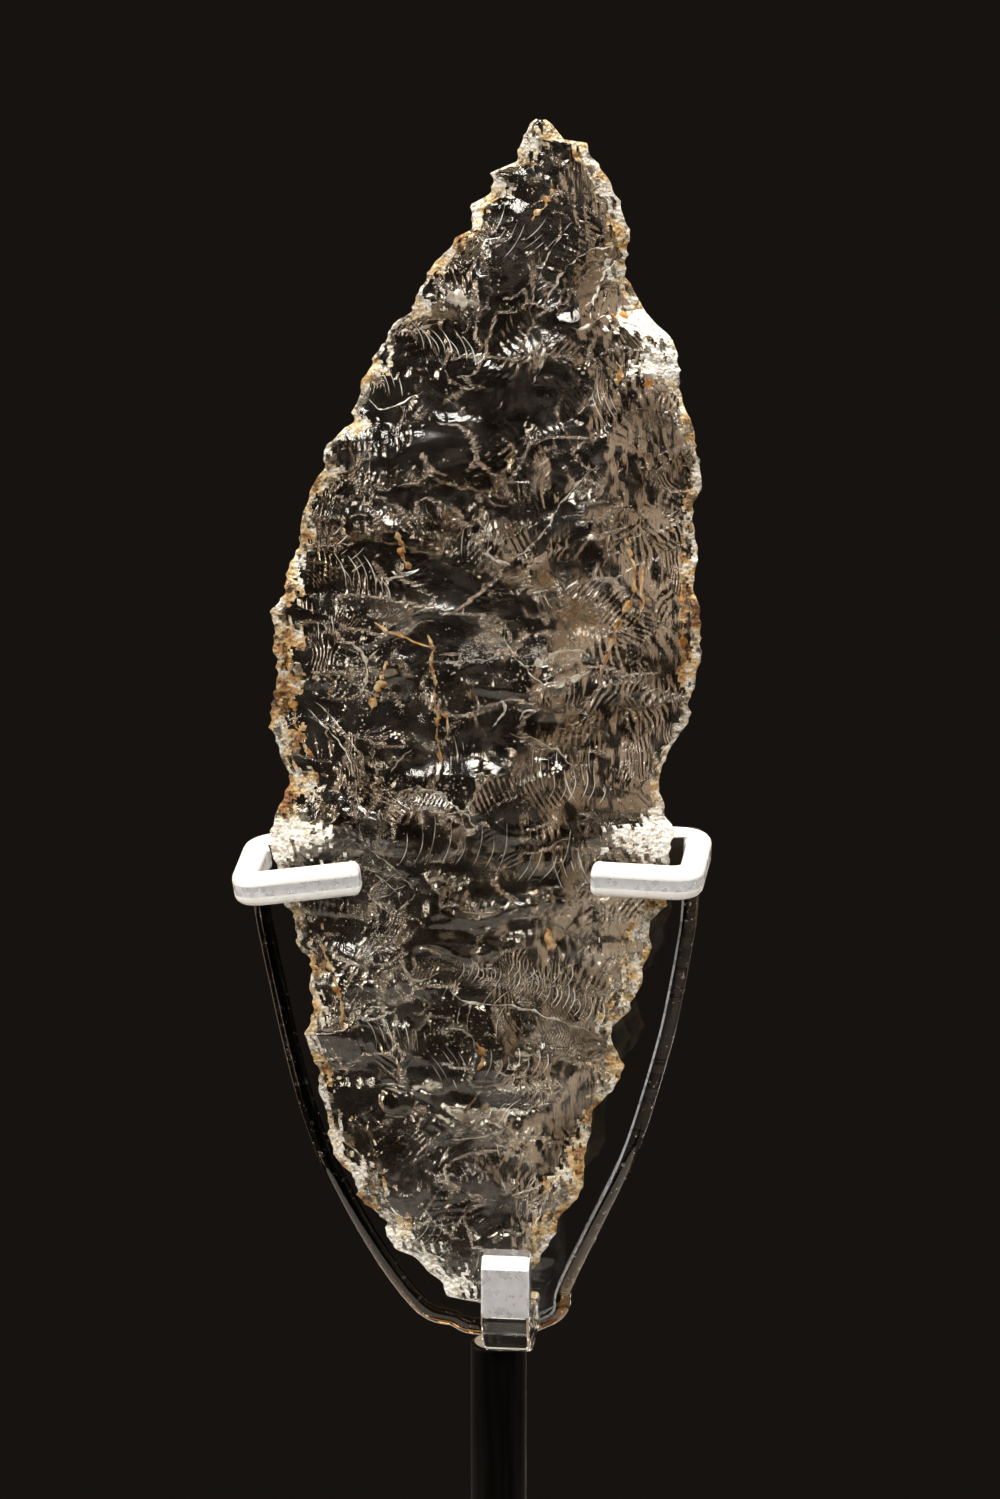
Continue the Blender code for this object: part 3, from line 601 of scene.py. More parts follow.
def makeBlade(materials):
    # both faces over one grid of heights and of shares s from the left edge to the right:
    # x = low + (high - low)*s, y = the edge's plane less the front's height, or plus the back's
    form = bladeForm
    crust = crustForm
    rows = np.linspace(0.0, bladeLength, form["rows"] + 1)
    even = np.linspace(0.0, 1.0, form["columns"] + 1)
    z, s = np.meshgrid(rows, 0.55 * even + 0.45 * (1.0 - np.cos(np.pi * even)) / 2.0, indexing="ij")
    low = edgeAt("left", z) + edgeTeeth(z, form["leftTeeth"])
    high = edgeAt("right", z) - edgeTeeth(z, form["rightTeeth"])
    x = low + (high - low) * s
    front, scarDepth, scarGap, frontRings = faceHeight(x, z, s, "front")
    back, _, _, backRings = faceHeight(x, z, s, "back")
    shake = crust["shake"] * slowWaves(z, s * 3.0, 1.4, crust["shakeSeed"]) * (np.abs(2.0 * s - 1.0) ** 14)
    middle = middlePlane(z, s) + shake * np.clip(np.minimum(z, bladeLength - z) / 3.0, 0.0, 1.0)
    up = z + form["base"]
    frontPoints = np.stack([x, middle - front, up], axis=-1).reshape(-1, 3)
    backPoints = np.stack([x, middle + back, up], axis=-1).reshape(-1, 3)

    # the back's grid has the front's own vertices along its border
    number = np.arange(z.size).reshape(z.shape)
    inside = np.zeros(z.shape, dtype=bool)
    inside[1:-1, 1:-1] = True
    backNumber = number.copy()
    backNumber[inside] = z.size + np.arange(inside.sum())
    points = np.concatenate([frontPoints, backPoints[inside.reshape(-1)]])

    # where the crystal is crushed: a ragged rim, and the ridges between scars, whose crushed crust also
    # paints bright lines of light along the arrises
    fromEdge = np.minimum(x - low, high - x)
    nearLeft = s < 0.5
    seed = crust["raggedSeed"]
    band = stretchValue(nearLeft, z, 3, crust["plainWidth"])
    ragged = 0.55 + 0.38 * slowWaves(x, z, 3.1, seed) + 0.42 * slowWaves(x, z, 1.0, seed + 1)
    rim = fromEdge < band * np.clip(ragged, 0.15, 1.6)
    crumble = slowWaves(x, z, 5.0, seed + 4) + 0.6 * slowWaves(x, z, 1.3, seed + 5)
    ridge = scarGap < crust["arrisGap"]
    crushedArrisAndHighlight = ridge & (scarDepth > crust["arrisDepth"]) & (crumble > crust["arrisShare"])
    backRagged = np.clip(0.5 + 0.5 * slowWaves(x, z, 2.2, seed + 6), 0.1, 1.4)
    backRim = fromEdge < band * crust["backShare"] * backRagged
    # the painted glare: the crushed white stretches of the rim
    glareRim = rim & glareStretch(nearLeft, z)

    # a corner cell is two triangles cut from the corner, so the two faces never share a triangle
    last = form["rows"] - 1
    wide = form["columns"] - 1
    corners = ((0, 0), (0, wide), (last, 0), (last, wide))
    whole = np.ones((last + 1, wide + 1), dtype=bool)
    whole[tuple(np.transpose(corners))] = False
    whole = whole.reshape(-1)

    def mostly(mask):
        # for each whole cell, whether more than half of its corners are in the mask
        m = mask.astype(float)
        return ((m[:-1, :-1] + m[:-1, 1:] + m[1:, 1:] + m[1:, :-1]).reshape(-1) > 2.0)[whole].astype(int)

    faces = gridFaces(number)[whole].tolist() + gridFaces(backNumber)[:, ::-1][whole].tolist()
    slots = (mostly(rim | crushedArrisAndHighlight) + mostly(glareRim)).tolist() + mostly(backRim).tolist()
    for i, j in corners:
        for grid, order in ((number, 1), (backNumber, -1)):
            a, b, c, d = (int(v) for v in (grid[i, j], grid[i, j + 1], grid[i + 1, j + 1], grid[i + 1, j]))
            pair = ((a, b, c), (a, c, d)) if (i == 0) == (j == 0) else ((a, b, d), (b, c, d))
            faces += [face[::order] for face in pair]
            slots += [1, 1]
    piece = meshPiece("crystalBlade", points, faces, materials, slots)

    brown = stretchValue(nearLeft, z, 4, crust["plainBrown"])
    stain = brown * (1.0 + 0.9 * slowWaves(x, z, 4.0, seed + 10) + 0.6 * slowWaves(x, z, 1.2, seed + 11))
    stain = np.where(fromEdge < crust["stainReach"], np.clip(stain, 0.0, 1.0), crust["innerStain"])
    for name, ahead, behind in (("stain", stain, stain), ("rings", frontRings, backRings)):
        values = np.concatenate([ahead.reshape(-1), behind[inside]]).astype(np.float32)
        piece.data.attributes.new(name, "FLOAT", "POINT").data.foreach_set("value", values)
    return piece


# materials of the crystal

def rockCrystalFlaked():
    # natural quartz, flaked: clear and glossy, IOR 1.544, with a fine haze of ripples that makes small glints
    material, tree, shader, place = newMaterial("rockCrystalFlaked")
    # smoky clouds some millimetres wide, which darken what is seen through them
    cloud = addNode(tree, "TexNoise", {"Vector": place, "Scale": perMm(8.5), "Detail": 2.0})
    tint = addNode(tree, "ValToRGB", {"Fac": cloud}, stops=((0.40, "#B4A99A"), (0.58, "#FFFDF8")))
    patch = addNode(tree, "TexNoise", {"Vector": place, "Scale": perMm(2.2), "Detail": 6.0})
    gloss = addNode(tree, "ValToRGB", {"Fac": patch}, stops=((0.38, 0.04), (0.7, 0.24)))
    grain = addNode(tree, "TexNoise", {"Vector": place, "Scale": perMm(0.7), "Detail": 4.0, "Roughness": 0.6})
    # two sets of fine fracture lines, 0.35 mm apart and slanted either way, that take turns by patches
    slanted = []
    for slant in (0.5, -0.7):
        drawn = addNode(tree, "Mapping", {"Vector": place, "Rotation": (0.0, slant, 0.0),
                                          "Scale": (1.0, 0.4, 0.12)})
        slanted.append(addNode(tree, "TexNoise", {"Vector": drawn, "Scale": perMm(0.35), "Detail": 2.0,
                                                  "Distortion": 0.4}))
    turns = addNode(tree, "TexNoise", {"Vector": place, "Scale": perMm(5.0)})
    choose = addNode(tree, "ValToRGB", {"Fac": turns}, stops=((0.44, 0.0), (0.56, 1.0)))
    lines = addNode(tree, "Mix", {0: choose, 2: slanted[0], 3: slanted[1]}, data_type="FLOAT")
    both = addNode(tree, "Math", {0: grain, 1: lines}, operation="ADD")
    relief = addNode(tree, "Bump", {"Height": both, "Strength": 0.4, "Distance": 0.08 * mm})
    # the finest ripples of each scar: a sine of its ring number, stronger and fainter by patches
    rings = addNode(tree, "Attribute", output="Fac", attribute_name="rings")
    ringTurn = addNode(tree, "Math", {0: rings, 1: 2.0 * np.pi}, operation="MULTIPLY")
    ringWave = addNode(tree, "Math", {0: ringTurn}, operation="SINE")
    ringPatch = addNode(tree, "TexNoise", {"Vector": place, "Scale": perMm(4.0), "Detail": 2.0})
    ringShare = addNode(tree, "ValToRGB", {"Fac": ringPatch}, stops=((0.47, 0.0), (0.66, 1.0)))
    ringHeight = addNode(tree, "Math", {0: ringWave, 1: ringShare}, operation="MULTIPLY")
    relief = addNode(tree, "Bump", {"Height": ringHeight, "Strength": 0.7, "Distance": 0.04 * mm,
                                    "Normal": relief})
    plug(tree, shader, {"Base Color": tint, "Roughness": gloss, "IOR": 1.544, "Transmission Weight": 1.0,
                        "Normal": relief})
    smoke = addNode(tree, "VolumeAbsorption", {"Color": linear("#C9BBA4"), "Density": 45.0})
    plug(tree, tree.nodes["Material Output"], {"Volume": smoke})
    return material


def crushedQuartz(name, stops, gapShade, through):
    # crushed edge: quartz broken to a sugary crust, with the iron stain that its stops give and painted shade
    # that darkens the gaps;
    # through is the share of light that still passes
    material, tree, shader, place = newMaterial(name)
    stain = addNode(tree, "Attribute", output="Fac", attribute_name="stain")
    blotch = addNode(tree, "TexNoise", {"Vector": place, "Scale": perMm(1.1), "Detail": 6.0,
                                        "Roughness": 0.7})
    shift = addNode(tree, "Math", {0: blotch, 1: 1.5, 2: -0.75}, operation="MULTIPLY_ADD")
    level = addNode(tree, "Math", {0: stain, 1: shift}, operation="ADD", use_clamp=True)
    colour = addNode(tree, "ValToRGB", {"Fac": level}, stops=stops)
    crumb = addNode(tree, "TexVoronoi", {"Vector": place, "Scale": perMm(0.42)}, feature="F1")
    sugar = addNode(tree, "TexNoise", {"Vector": place, "Scale": perMm(0.25), "Detail": 3.0})
    # painted shade: small dark gaps between the crumbs
    gap = addNode(tree, "TexNoise", {"Vector": place, "Scale": perMm(0.9), "Detail": 5.0, "Roughness": 0.75})
    shade = addNode(tree, "ValToRGB", {"Fac": gap}, stops=((0.40, gapShade), (0.50, "#FFFFFF")))
    colour = addNode(tree, "Mix", {0: 1.0, 6: colour, 7: shade}, 2, data_type="RGBA", blend_type="MULTIPLY")
    crumbs = addNode(tree, "Math", {0: crumb, 1: sugar}, operation="ADD")
    relief = addNode(tree, "Bump", {"Height": crumbs, "Strength": 0.9, "Distance": 0.3 * mm})
    rough = addNode(tree, "ValToRGB", {"Fac": sugar}, stops=((0.3, 0.22), (0.7, 0.5)))
    plug(tree, shader, {"Base Color": colour, "Roughness": rough, "IOR": 1.544,
                        "Transmission Weight": through, "Normal": relief})
    return material


crystal = rockCrystalFlaked()
stainedTones = ((0.12, "#FFFAF0"), (0.4, "#F8E2B8"), (0.68, "#E0B36C"), (1.0, "#9C642C"))
# the white crust: crushed quartz painted white and nearly opaque as a painted glare, where the light blows
# the edge out
glareTones = ((0.12, "#FFFDF8"), (0.5, "#FBF3E2"), (1.0, "#E8D2A4"))
# the third value is the painted shade of the gaps
stainedCrust = crushedQuartz("crushedStainedQuartz", stainedTones, "#5E5040", 0.5)
crushedGlareCrust = crushedQuartz("crushedQuartzPaintedGlare", glareTones, "#B8AD9C", 0.12)
blade = makeBlade([crystal, stainedCrust, crushedGlareCrust])
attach(blade, rootBody)
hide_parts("blade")
print("blade flaked:", len(blade.data.polygons), "faces")


# what is sealed in the crystal

def taper(count, power):
    # nothing at both ends and one in the middle, by sin(pi*share)**power
    return np.sin(np.linspace(0.0, np.pi, count)) ** power


def ribbons(lines, sides):
    # each line is (points, half widths, half depths, y): an ellipse carried along it and closed to a point at
    # both ends, place + halfWidth*cos(turn) to its side and y + halfDepth*sin(turn) in depth
    points = []
    faces = []
    start = 0
    turn = np.linspace(0.0, 2.0 * np.pi, sides, endpoint=False)
    for path, wide, deep, y in lines:
        along = np.gradient(path, axis=0)
        along = along / np.maximum(np.hypot(along[:, 0], along[:, 1]), 1e-6)[:, None]
        body = slice(1, -1)
        ring = np.empty((len(path) - 2, sides, 3))
        ring[:, :, 0] = path[body, None, 0] + along[body, None, 1] * wide[body, None] * np.cos(turn)
        ring[:, :, 2] = path[body, None, 1] - along[body, None, 0] * wide[body, None] * np.cos(turn)
        ring[:, :, 1] = y[body, None] + deep[body, None] * np.sin(turn)
        points.append(ring.reshape(-1, 3))
        points.append(np.array([[path[0, 0], y[0], path[0, 1]], [path[-1, 0], y[-1], path[-1, 1]]]))
        number = start + np.arange((len(path) - 2) * sides).reshape(-1, sides)
        faces += tubeFaces(number, start + number.size)
        start += number.size + 2
    allPoints = np.concatenate(points)
    allPoints[:, 2] += bladeForm["base"]
    return allPoints, faces


def flawLine(line, half, deep, below, seed, ragged):
    # a ribbon near the front face whose width swells and pinches by seeded waves, the more the raggeder
    path = resample(line, 0.15, 1)
    x, z = path.T
    swell = slowWaves(x, z, 1.3, seed) + 0.6 * slowWaves(x, z, 0.5, seed + 2)
    thin = taper(len(path), 0.4)
    wide = half * np.clip(1.0 + ragged * swell, 0.03, 2.6) * thin
    shake = 0.10 * slowWaves(x, z, 1.0, seed + 1)
    path = path + np.stack([shake, 0.7 * shake[::-1]], axis=-1)
    path[:, 0] = np.clip(path[:, 0], edgeAt("left", path[:, 1]) + 1.4, edgeAt("right", path[:, 1]) - 1.4)
    return path, wide, deep * thin, frontAt(path[:, 0], path[:, 1]) + below + deep


# orange cracks: line, half width, half depth, how far below the face
stainLines = (
    (((-6.0, 63.2), (-5.3, 62.1), (-5.8, 60.6), (-5.2, 59.1), (-5.4, 57.2), (-5.0, 55.7), (-5.3, 53.8),
      (-4.8, 52.2), (-4.9, 49.6)), 0.13, 0.9, 0.35),
    (((-10.6, 64.1), (-8.6, 63.1), (-6.8, 62.4), (-5.7, 62.1)), 0.09, 0.5, 0.3),
    (((-5.3, 56.6), (-4.4, 55.9), (-4.1, 54.4), (-4.7, 52.9)), 0.07, 0.4, 0.4),
    (((-8.7, 72.6), (-8.1, 71.5), (-8.3, 70.2), (-7.4, 69.0)), 0.16, 0.4, 0.3),
    (((11.3, 72.4), (11.9, 70.1), (12.4, 67.9), (11.2, 65.6), (10.3, 63.7), (9.9, 61.7), (9.0, 60.0)),
     0.12, 0.6, 0.3),
    (((13.2, 70.5), (12.6, 68.6), (13.0, 66.2), (12.0, 64.4)), 0.08, 0.5, 0.3),
    (((16.0, 70.5), (16.3, 66.9), (16.5, 63.2), (16.2, 58.6)), 0.16, 0.25, 0.15),
    (((-15.5, 33.5), (-14.7, 31.0), (-13.9, 28.9), (-13.6, 26.0)), 0.14, 0.3, 0.2),
    (((-18.6, 61.5), (-18.3, 57.0), (-17.5, 52.5), (-16.2, 51.0)), 0.16, 0.3, 0.15),
    (((5.0, 103.4), (4.4, 102.7), (4.3, 101.8), (3.6, 101.4), (3.1, 100.7)), 0.20, 0.3, 0.1),
    (((-2.6, 102.0), (-2.5, 100.7), (-2.9, 99.5), (-3.9, 97.5)), 0.18, 0.25, 0.08),
    (((9.9, 92.4), (10.4, 91.9), (11.0, 92.0), (11.8, 91.4)), 0.28, 0.3, 0.1),
    (((12.9, 86.9), (13.3, 85.9), (13.8, 85.6)), 0.22, 0.2, 0.1),
    (((10.6, 88.4), (10.9, 87.3), (10.6, 86.4)), 0.18, 0.2, 0.1),
    (((-9.4, 60.8), (-9.9, 59.0), (-10.6, 57.4), (-11.0, 55.6)), 0.20, 0.2, 0.08),
    (((4.6, 36.4), (5.0, 35.2), (4.7, 34.2)), 0.20, 0.2, 0.08),
    (((-1.6, 25.6), (-0.8, 24.4), (-1.4, 23.2)), 0.16, 0.2, 0.08),
)

# painted highlights: fine white creases that stand in for the bright lines of light along a scar's ripples
creasesAndHighlights = {
    "families": 17,       # groups of fine curved creases, laid like the ripples of a scar
    "half": (0.010, 0.030),
    "spacing": (0.45, 0.95),
    "radius": (2.4, 8.0),
    "seed": 5,
}

# painted highlights: the combs are white ribbons along the ripples' bright lines
# combs of ripples as the photograph has them: the foot line's two ends, its sag, spacing, length and lean
rippleHighlightCombs = (
    ((-3.4, 31.2), (9.4, 26.6), 0.9, 0.55, 2.4, 0.5), ((-1.2, 22.4), (4.4, 22.2), 0.1, 0.72, 3.0, 0.6),
    ((-13.6, 67.0), (-8.8, 66.4), 0.3, 0.66, 3.2, -1.2), ((-9.0, 42.0), (1.0, 41.6), 0.4, 1.25, 5.2, 0.9),
    ((1.2, 40.4), (5.8, 40.8), 0.2, 1.10, 4.8, 1.5), ((4.4, 48.4), (9.6, 47.8), 0.2, 0.80, 2.8, 0.5),
    ((-6.6, 88.6), (-1.4, 87.6), 0.3, 0.60, 2.8, -1.3), ((0.6, 31.6), (6.6, 30.4), 0.3, 0.62, 2.2, 0.6),
)


def creaseHighlightLine(x, z, half):
    # a fine ribbon under its points: path, half widths, half depths, and how far below the face
    thin = half * taper(len(x), 0.5)
    return np.stack([x, z], axis=-1), thin, 1.4 * thin, half


def combLines(rows, seed):
    # ripples side by side: each starts on the sagging foot line and bows sideways by a sine on its way up
    dice = np.random.default_rng(seed)
    lines = []
    run = np.linspace(0.0, 1.0, 11)
    for (x0, z0), (x1, z1), sag, spacing, length, lean in rows:
        count = int(np.hypot(x1 - x0, z1 - z0) / spacing)
        for share in (np.arange(count) + 0.5) / count:
            reach = length * dice.uniform(0.5, 1.05)
            rise = dice.uniform(0.0, 0.25) + run * reach
            x = x0 + (x1 - x0) * share + dice.normal(0.0, 0.08) + lean * run + 0.35 * np.sin(np.pi * run)
            z = z0 + (z1 - z0) * share + sag * np.sin(np.pi * share) + rise
            lines.append(creaseHighlightLine(x, z, dice.uniform(0.014, 0.034)))
    return lines


def creaseHighlightLines(form):
    # each family is a row of short arcs about one centre, a spacing apart, with seeded lengths and shifts
    dice = np.random.default_rng(form["seed"])
    lines = combLines(rippleHighlightCombs, form["seed"] + 1)
    for _ in range(form["families"]):
        z0 = dice.uniform(4.0, bladeLength - 5.0)
        low = edgeAt("left", z0) + 1.5
        high = edgeAt("right", z0) - 1.5
        x0 = dice.uniform(low, high)
        inward = 1.0 if x0 < 0.5 * (low + high) else -1.0
        slope = dice.normal(-0.2, 0.75)
        radius = dice.uniform(*form["radius"])
        spacing = dice.uniform(*form["spacing"])
        centreX = x0 - inward * radius * np.cos(slope)
        centreZ = z0 - radius * np.sin(slope)
        for number in range(dice.integers(3, 9)):
            reach = radius + spacing * number
            run = dice.uniform(0.8, 3.6)
            sweep = np.linspace(-0.5, 0.5, 9) * run / reach + dice.normal(0.0, 0.12)
            x = centreX + inward * reach * np.cos(sweep + slope)
            z = np.clip(centreZ + reach * np.sin(sweep + slope), 1.0, bladeLength - 1.0)
            half = dice.uniform(*form["half"])
            if np.all(x >= edgeAt("left", z) + 0.8) and np.all(x <= edgeAt("right", z) - 0.8):
                lines.append(creaseHighlightLine(x, z, half))
    # one call gives the face's Y under all the arcs together
    every = np.concatenate([line[0] for line in lines])
    faceY = np.split(frontAt(every[:, 0], every[:, 1]), np.cumsum([len(line[0]) for line in lines])[:-1])
    return [(path, wide, deep, y + below) for (path, wide, deep, below), y in zip(lines, faceY)]


# limonite in an inner crack: dull orange, darker brown where it is thick
ironStain = noiseFinish("ironStain", 0.8, 5.0, ((0.34, "#B8722C"), (0.47, "#E6B066"), (0.6, "#FBE9C6")), 0.6)
# an air-filled crack inside quartz: bright, white and a little grey, because it throws light back; the same
# white also paints the bright lines of light along ripples and hinge lips (painted highlights)
frostedAndHighlight = noiseFinish("frostedFlawAndHighlight", 0.9, 4.0, ((0.34, "#B9B2A8"), (0.5, "#F0EBE2"), (0.62, "#FFFDF9")), 0.3)

stainForm = {"width": 1.15, "depth": 1.0, "below": 1.0, "ragged": 1.25, "seed": 200}
whiteForm = {"width": 0.5, "depth": 0.5, "below": 0.3, "ragged": 1.35, "seed": 300}


def crackPiece(name, lines, form, material):
    # a table's lines as ribbons, with their widths, depths and places below the face times the form's own
    paths = [flawLine(line, form["width"] * half, form["depth"] * deep, form["below"] * below,
                      form["seed"] + 3 * number, form["ragged"])
             for number, (line, half, deep, below) in enumerate(lines)]
    return meshPiece(name, *ribbons(paths, 8), [material])


stained = crackPiece("stainedCracks", stainLines, stainForm, ironStain)
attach(stained, rootBody)

whiteFlawsAndHighlights = crackPiece("whiteFlawsAndHighlights", whiteLines, whiteForm, frostedAndHighlight)
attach(whiteFlawsAndHighlights, rootBody)

# white creases inside the face, painting the ripples' bright lines
fineCreasesAndHighlights = meshPiece("fineCreasesAndHighlights", *ribbons(creaseHighlightLines(creasesAndHighlights), 4), [frostedAndHighlight])
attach(fineCreasesAndHighlights, rootBody)
print("cracks drawn:", sum(len(piece.data.polygons) for piece in (stained, whiteFlawsAndHighlights, fineCreasesAndHighlights)), "faces")

# clouds of tiny inner cracks: x, z, spread across, spread up, count, size
veilClouds = (
    (-11.6, 59.8, 1.3, 2.6, 260, 0.10), (13.4, 89.2, 1.4, 2.2, 220, 0.12), (-4.6, 54.0, 0.8, 5.0, 160, 0.08),
    (4.6, 61.4, 2.6, 1.4, 220, 0.09), (-6.0, 48.6, 2.2, 0.8, 160, 0.10), (2.0, 29.0, 6.0, 2.6, 220, 0.07),
    (-3.0, 26.0, 2.2, 1.4, 140, 0.10), (-9.4, 40.2, 2.0, 1.8, 120, 0.07), (12.0, 66.0, 2.6, 5.0, 220, 0.08),
    (-13.0, 33.0, 2.6, 4.0, 160, 0.08), (-6.0, 5.0, 3.0, 2.2, 220, 0.12), (3.0, 102.0, 3.4, 4.0, 160, 0.08),
    (0.0, 40.0, 14.0, 22.0, 500, 0.06), (0.0, 75.0, 14.0, 20.0, 500, 0.06),
)


def octahedra(places, sizes, dice):
    # one octahedron at each place, squashed by seeded shares along each axis
    corners = np.array([(1, 0, 0), (-1, 0, 0), (0, 1, 0), (0, -1, 0), (0, 0, 1), (0, 0, -1)], dtype=float)
    sides = np.array([(0, 2, 4), (2, 1, 4), (1, 3, 4), (3, 0, 4), (2, 0, 5), (1, 2, 5), (3, 1, 5), (0, 3, 5)])
    squash = dice.uniform(0.25, 1.0, (len(places), 3)) * sizes[:, None]
    points = (places[:, None, :] + corners[None] * squash[:, None, :]).reshape(-1, 3)
    faces = (sides[None] + 6 * np.arange(len(places))[:, None, None]).reshape(-1, 3)
    return points, faces.tolist()


def veilFlecks(clouds, seed):
    # flecks scattered by a bell curve around each cloud
    dice = np.random.default_rng(seed)
    places = []
    sizes = []
    for x, z, wide, high, count, size in clouds:
        px = x + dice.normal(0.0, wide, count)
        pz = np.clip(z + dice.normal(0.0, high, count), 2.0, bladeLength - 2.0)
        keep = (px > edgeAt("left", pz) + 1.2) & (px < edgeAt("right", pz) - 1.2)
        px, pz = px[keep], pz[keep]
        below = dice.uniform(0.15, 0.9, len(px))
        places.append(np.stack([px, frontAt(px, pz) + below, pz + bladeForm["base"]], axis=-1))
        sizes.append(size * dice.lognormal(0.0, 0.45, len(px)))
    places = np.concatenate(places)
    return octahedra(places, np.clip(np.concatenate(sizes), 0.03, 0.22), dice)


flecks = meshPiece("veilFlecks", *veilFlecks(veilClouds, 77), [frostedAndHighlight])
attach(flecks, rootBody)
print("veils scattered:", len(flecks.data.polygons), "faces")


# cradle: the keys with hook are for the two side hooks, those with seat for the hook below

cradleForm = {
    "plateFront": 2.8,
    "plateThickness": 3.0,
    "plateRim": 1.4,
    "seatUnder": 66.0,
    "seatFloor": 3.5,
    "hookWall": 2.2,
    "hookHeight": 2.9,
    "hookTuck": 0.2,
    "hookLap": 5.0,
    "hookInset": 0.25,
    "hookBend": 2.7,
    "hookInnerBend": 0.8,
    "hookEndRound": 0.5,
    "edgeRound": 0.8,
    # the core below is sanded, not clear, and its grey is partly a painted sheen
    "hookCore": 0.5,      # half height of the clear core of a side hook's front
    "seatCore": 1.7,
    "seatRound": 0.35,
    "seatMiddle": 1.25,
    "seatWidth": 4.3,
    "seatWall": 2.6,
    "seatSpace": 1.1,
    "seatRise": 6.3,
    "seatTopSlope": 1.0,
    "seatBend": 4.6,
    "seatInnerBend": 1.8,
    "seatClear": 0.9,     # the hook below is clear up to this far over its seat
    # painted glow: the hook below takes it from this far under its top up to its clear cap
    "seatPaintedGlow": 0.8,      # and glows from this far under its top up to its clear cap
    "seatCap": 0.2,
    "plateCore": 0.04,    # half width of the bright line along the middle of the plate's rim
    "plateSteps": 5,
    "rimSteps": 7,
    "hookSteps": 4,
    "arcStep": 7.5,
    "sharpAngle": 32.0,
}
# slots of the cradle's materials
# the rim's material holds painted shade and glints, the edge's a painted glow, and the satin's a painted
# sheen
clear, paintedShadeRim, paintedGlow, satinPaintedSheen = range(4)
# side, height above the base, space beside the edge, length, tilt
sideHooks = (("left", 40.7, 0.8, 11.6, 8.5), ("right", 42.1, 0.8, 9.8, -1.5))
# the plate's face from its upper right corner down and round to its upper left: across, height over the base
plateFace = np.array([
    (16.2, 43.2), (16.0, 36.5), (15.5, 32.5), (14.7, 27.9), (14.0, 24.5), (12.6, 19.2),
    (11.1, 14.2), (9.6, 10.4), (7.2, 5.2), (4.9, 0.0), (4.6, -2.0), (3.4, -2.9), (1.6, -3.5),
    (-2.6, -3.7), (-4.3, -3.0), (-6.2, -2.6), (-7.8, -1.2), (-10.0, 1.8), (-12.3, 5.6),
    (-14.2, 9.2), (-15.6, 12.2), (-17.3, 17.4), (-18.7, 23.2), (-19.6, 27.6), (-20.4, 31.6),
    (-21.0, 35.4), (-21.2, 41.2),
])


def arc(centre, radius, start, end):
    # points of a circle's part, angles in degrees, a fixed angle apart
    steps = max(2, int(abs(end - start) / cradleForm["arcStep"]))
    angles = np.radians(np.linspace(start, end, steps + 1))
    return [(centre[0] + radius * np.cos(a), centre[1] + radius * np.sin(a)) for a in angles]


def throughPoints(points, steps):
    # a Catmull-Rom curve through an open row of points
    padded = np.concatenate([points[:1] * 2 - points[1:2], points, points[-1:] * 2 - points[-2:-1]])
    t = np.linspace(0.0, 1.0, steps, endpoint=False)[:, None]
    parts = []
    for p0, p1, p2, p3 in zip(padded[:-3], padded[1:-2], padded[2:-1], padded[3:]):
        parts.append(0.5 * (2 * p1 + (p2 - p0) * t + (2 * p0 - 5 * p1 + 4 * p2 - p3) * t ** 2
                            + (3 * p1 - p0 - 3 * p2 + p3) * t ** 3))
    return np.concatenate(parts + [points[-1:]])


def slab(outline, halfThickness, rim, core, outward, rimSteps, slotSet):
    # a closed outline carried up its edge: a quarter round, the wall with its core in the middle, and another
    # quarter round, by offset = rim*cos(angle), height = rest + rim*sin(angle).
    # slotSet is for the caps, the thin line where the round begins, the rim and the core.
    # gives the points, the faces and each face's slot
    outline = np.asarray(outline, dtype=float)
    area = np.sum(outline[:, 0] * np.roll(outline[:, 1], -1) - outline[:, 1] * np.roll(outline[:, 0], -1))
    if area < 0:
        outline = outline[::-1]
    after = np.roll(outline, -1, axis=0) - outline
    n2 = np.stack([after[:, 1], -after[:, 0]], axis=-1) / np.hypot(after[:, 0], after[:, 1])[:, None]
    n1 = np.roll(n2, 1, axis=0)
    normal = n1 + n2
    normal = normal / np.maximum(np.sum(normal * n1, axis=1), 0.3)[:, None]
    angles = np.concatenate([np.linspace(0.0, np.radians(82.0), rimSteps), [np.pi / 2.0]])
    offset = rim * (np.cos(angles) - (0.0 if outward else 1.0))
    height = halfThickness - rim + rim * np.sin(angles)
    offset = np.concatenate([offset[::-1], [offset[0], offset[0]], offset])
    height = np.concatenate([-height[::-1], [-core, core], height])
    around = len(outline)
    ring = np.empty((len(offset), around, 3))
    ring[:, :, :2] = outline[None] + normal[None] * offset[:, None, None]
    ring[:, :, 2] = height[:, None]
    faces = tubeFaces(np.arange(len(offset) * around).reshape(-1, around))
    capSlot, lineSlot, rimSlot, coreSlot = slotSet
    line = [lineSlot] * around
    rimPart = [rimSlot] * (rimSteps * around)
    slots = line + rimPart + [coreSlot] * around + rimPart + line + [capSlot, capSlot]
    return ring.reshape(-1, 3), faces, slots


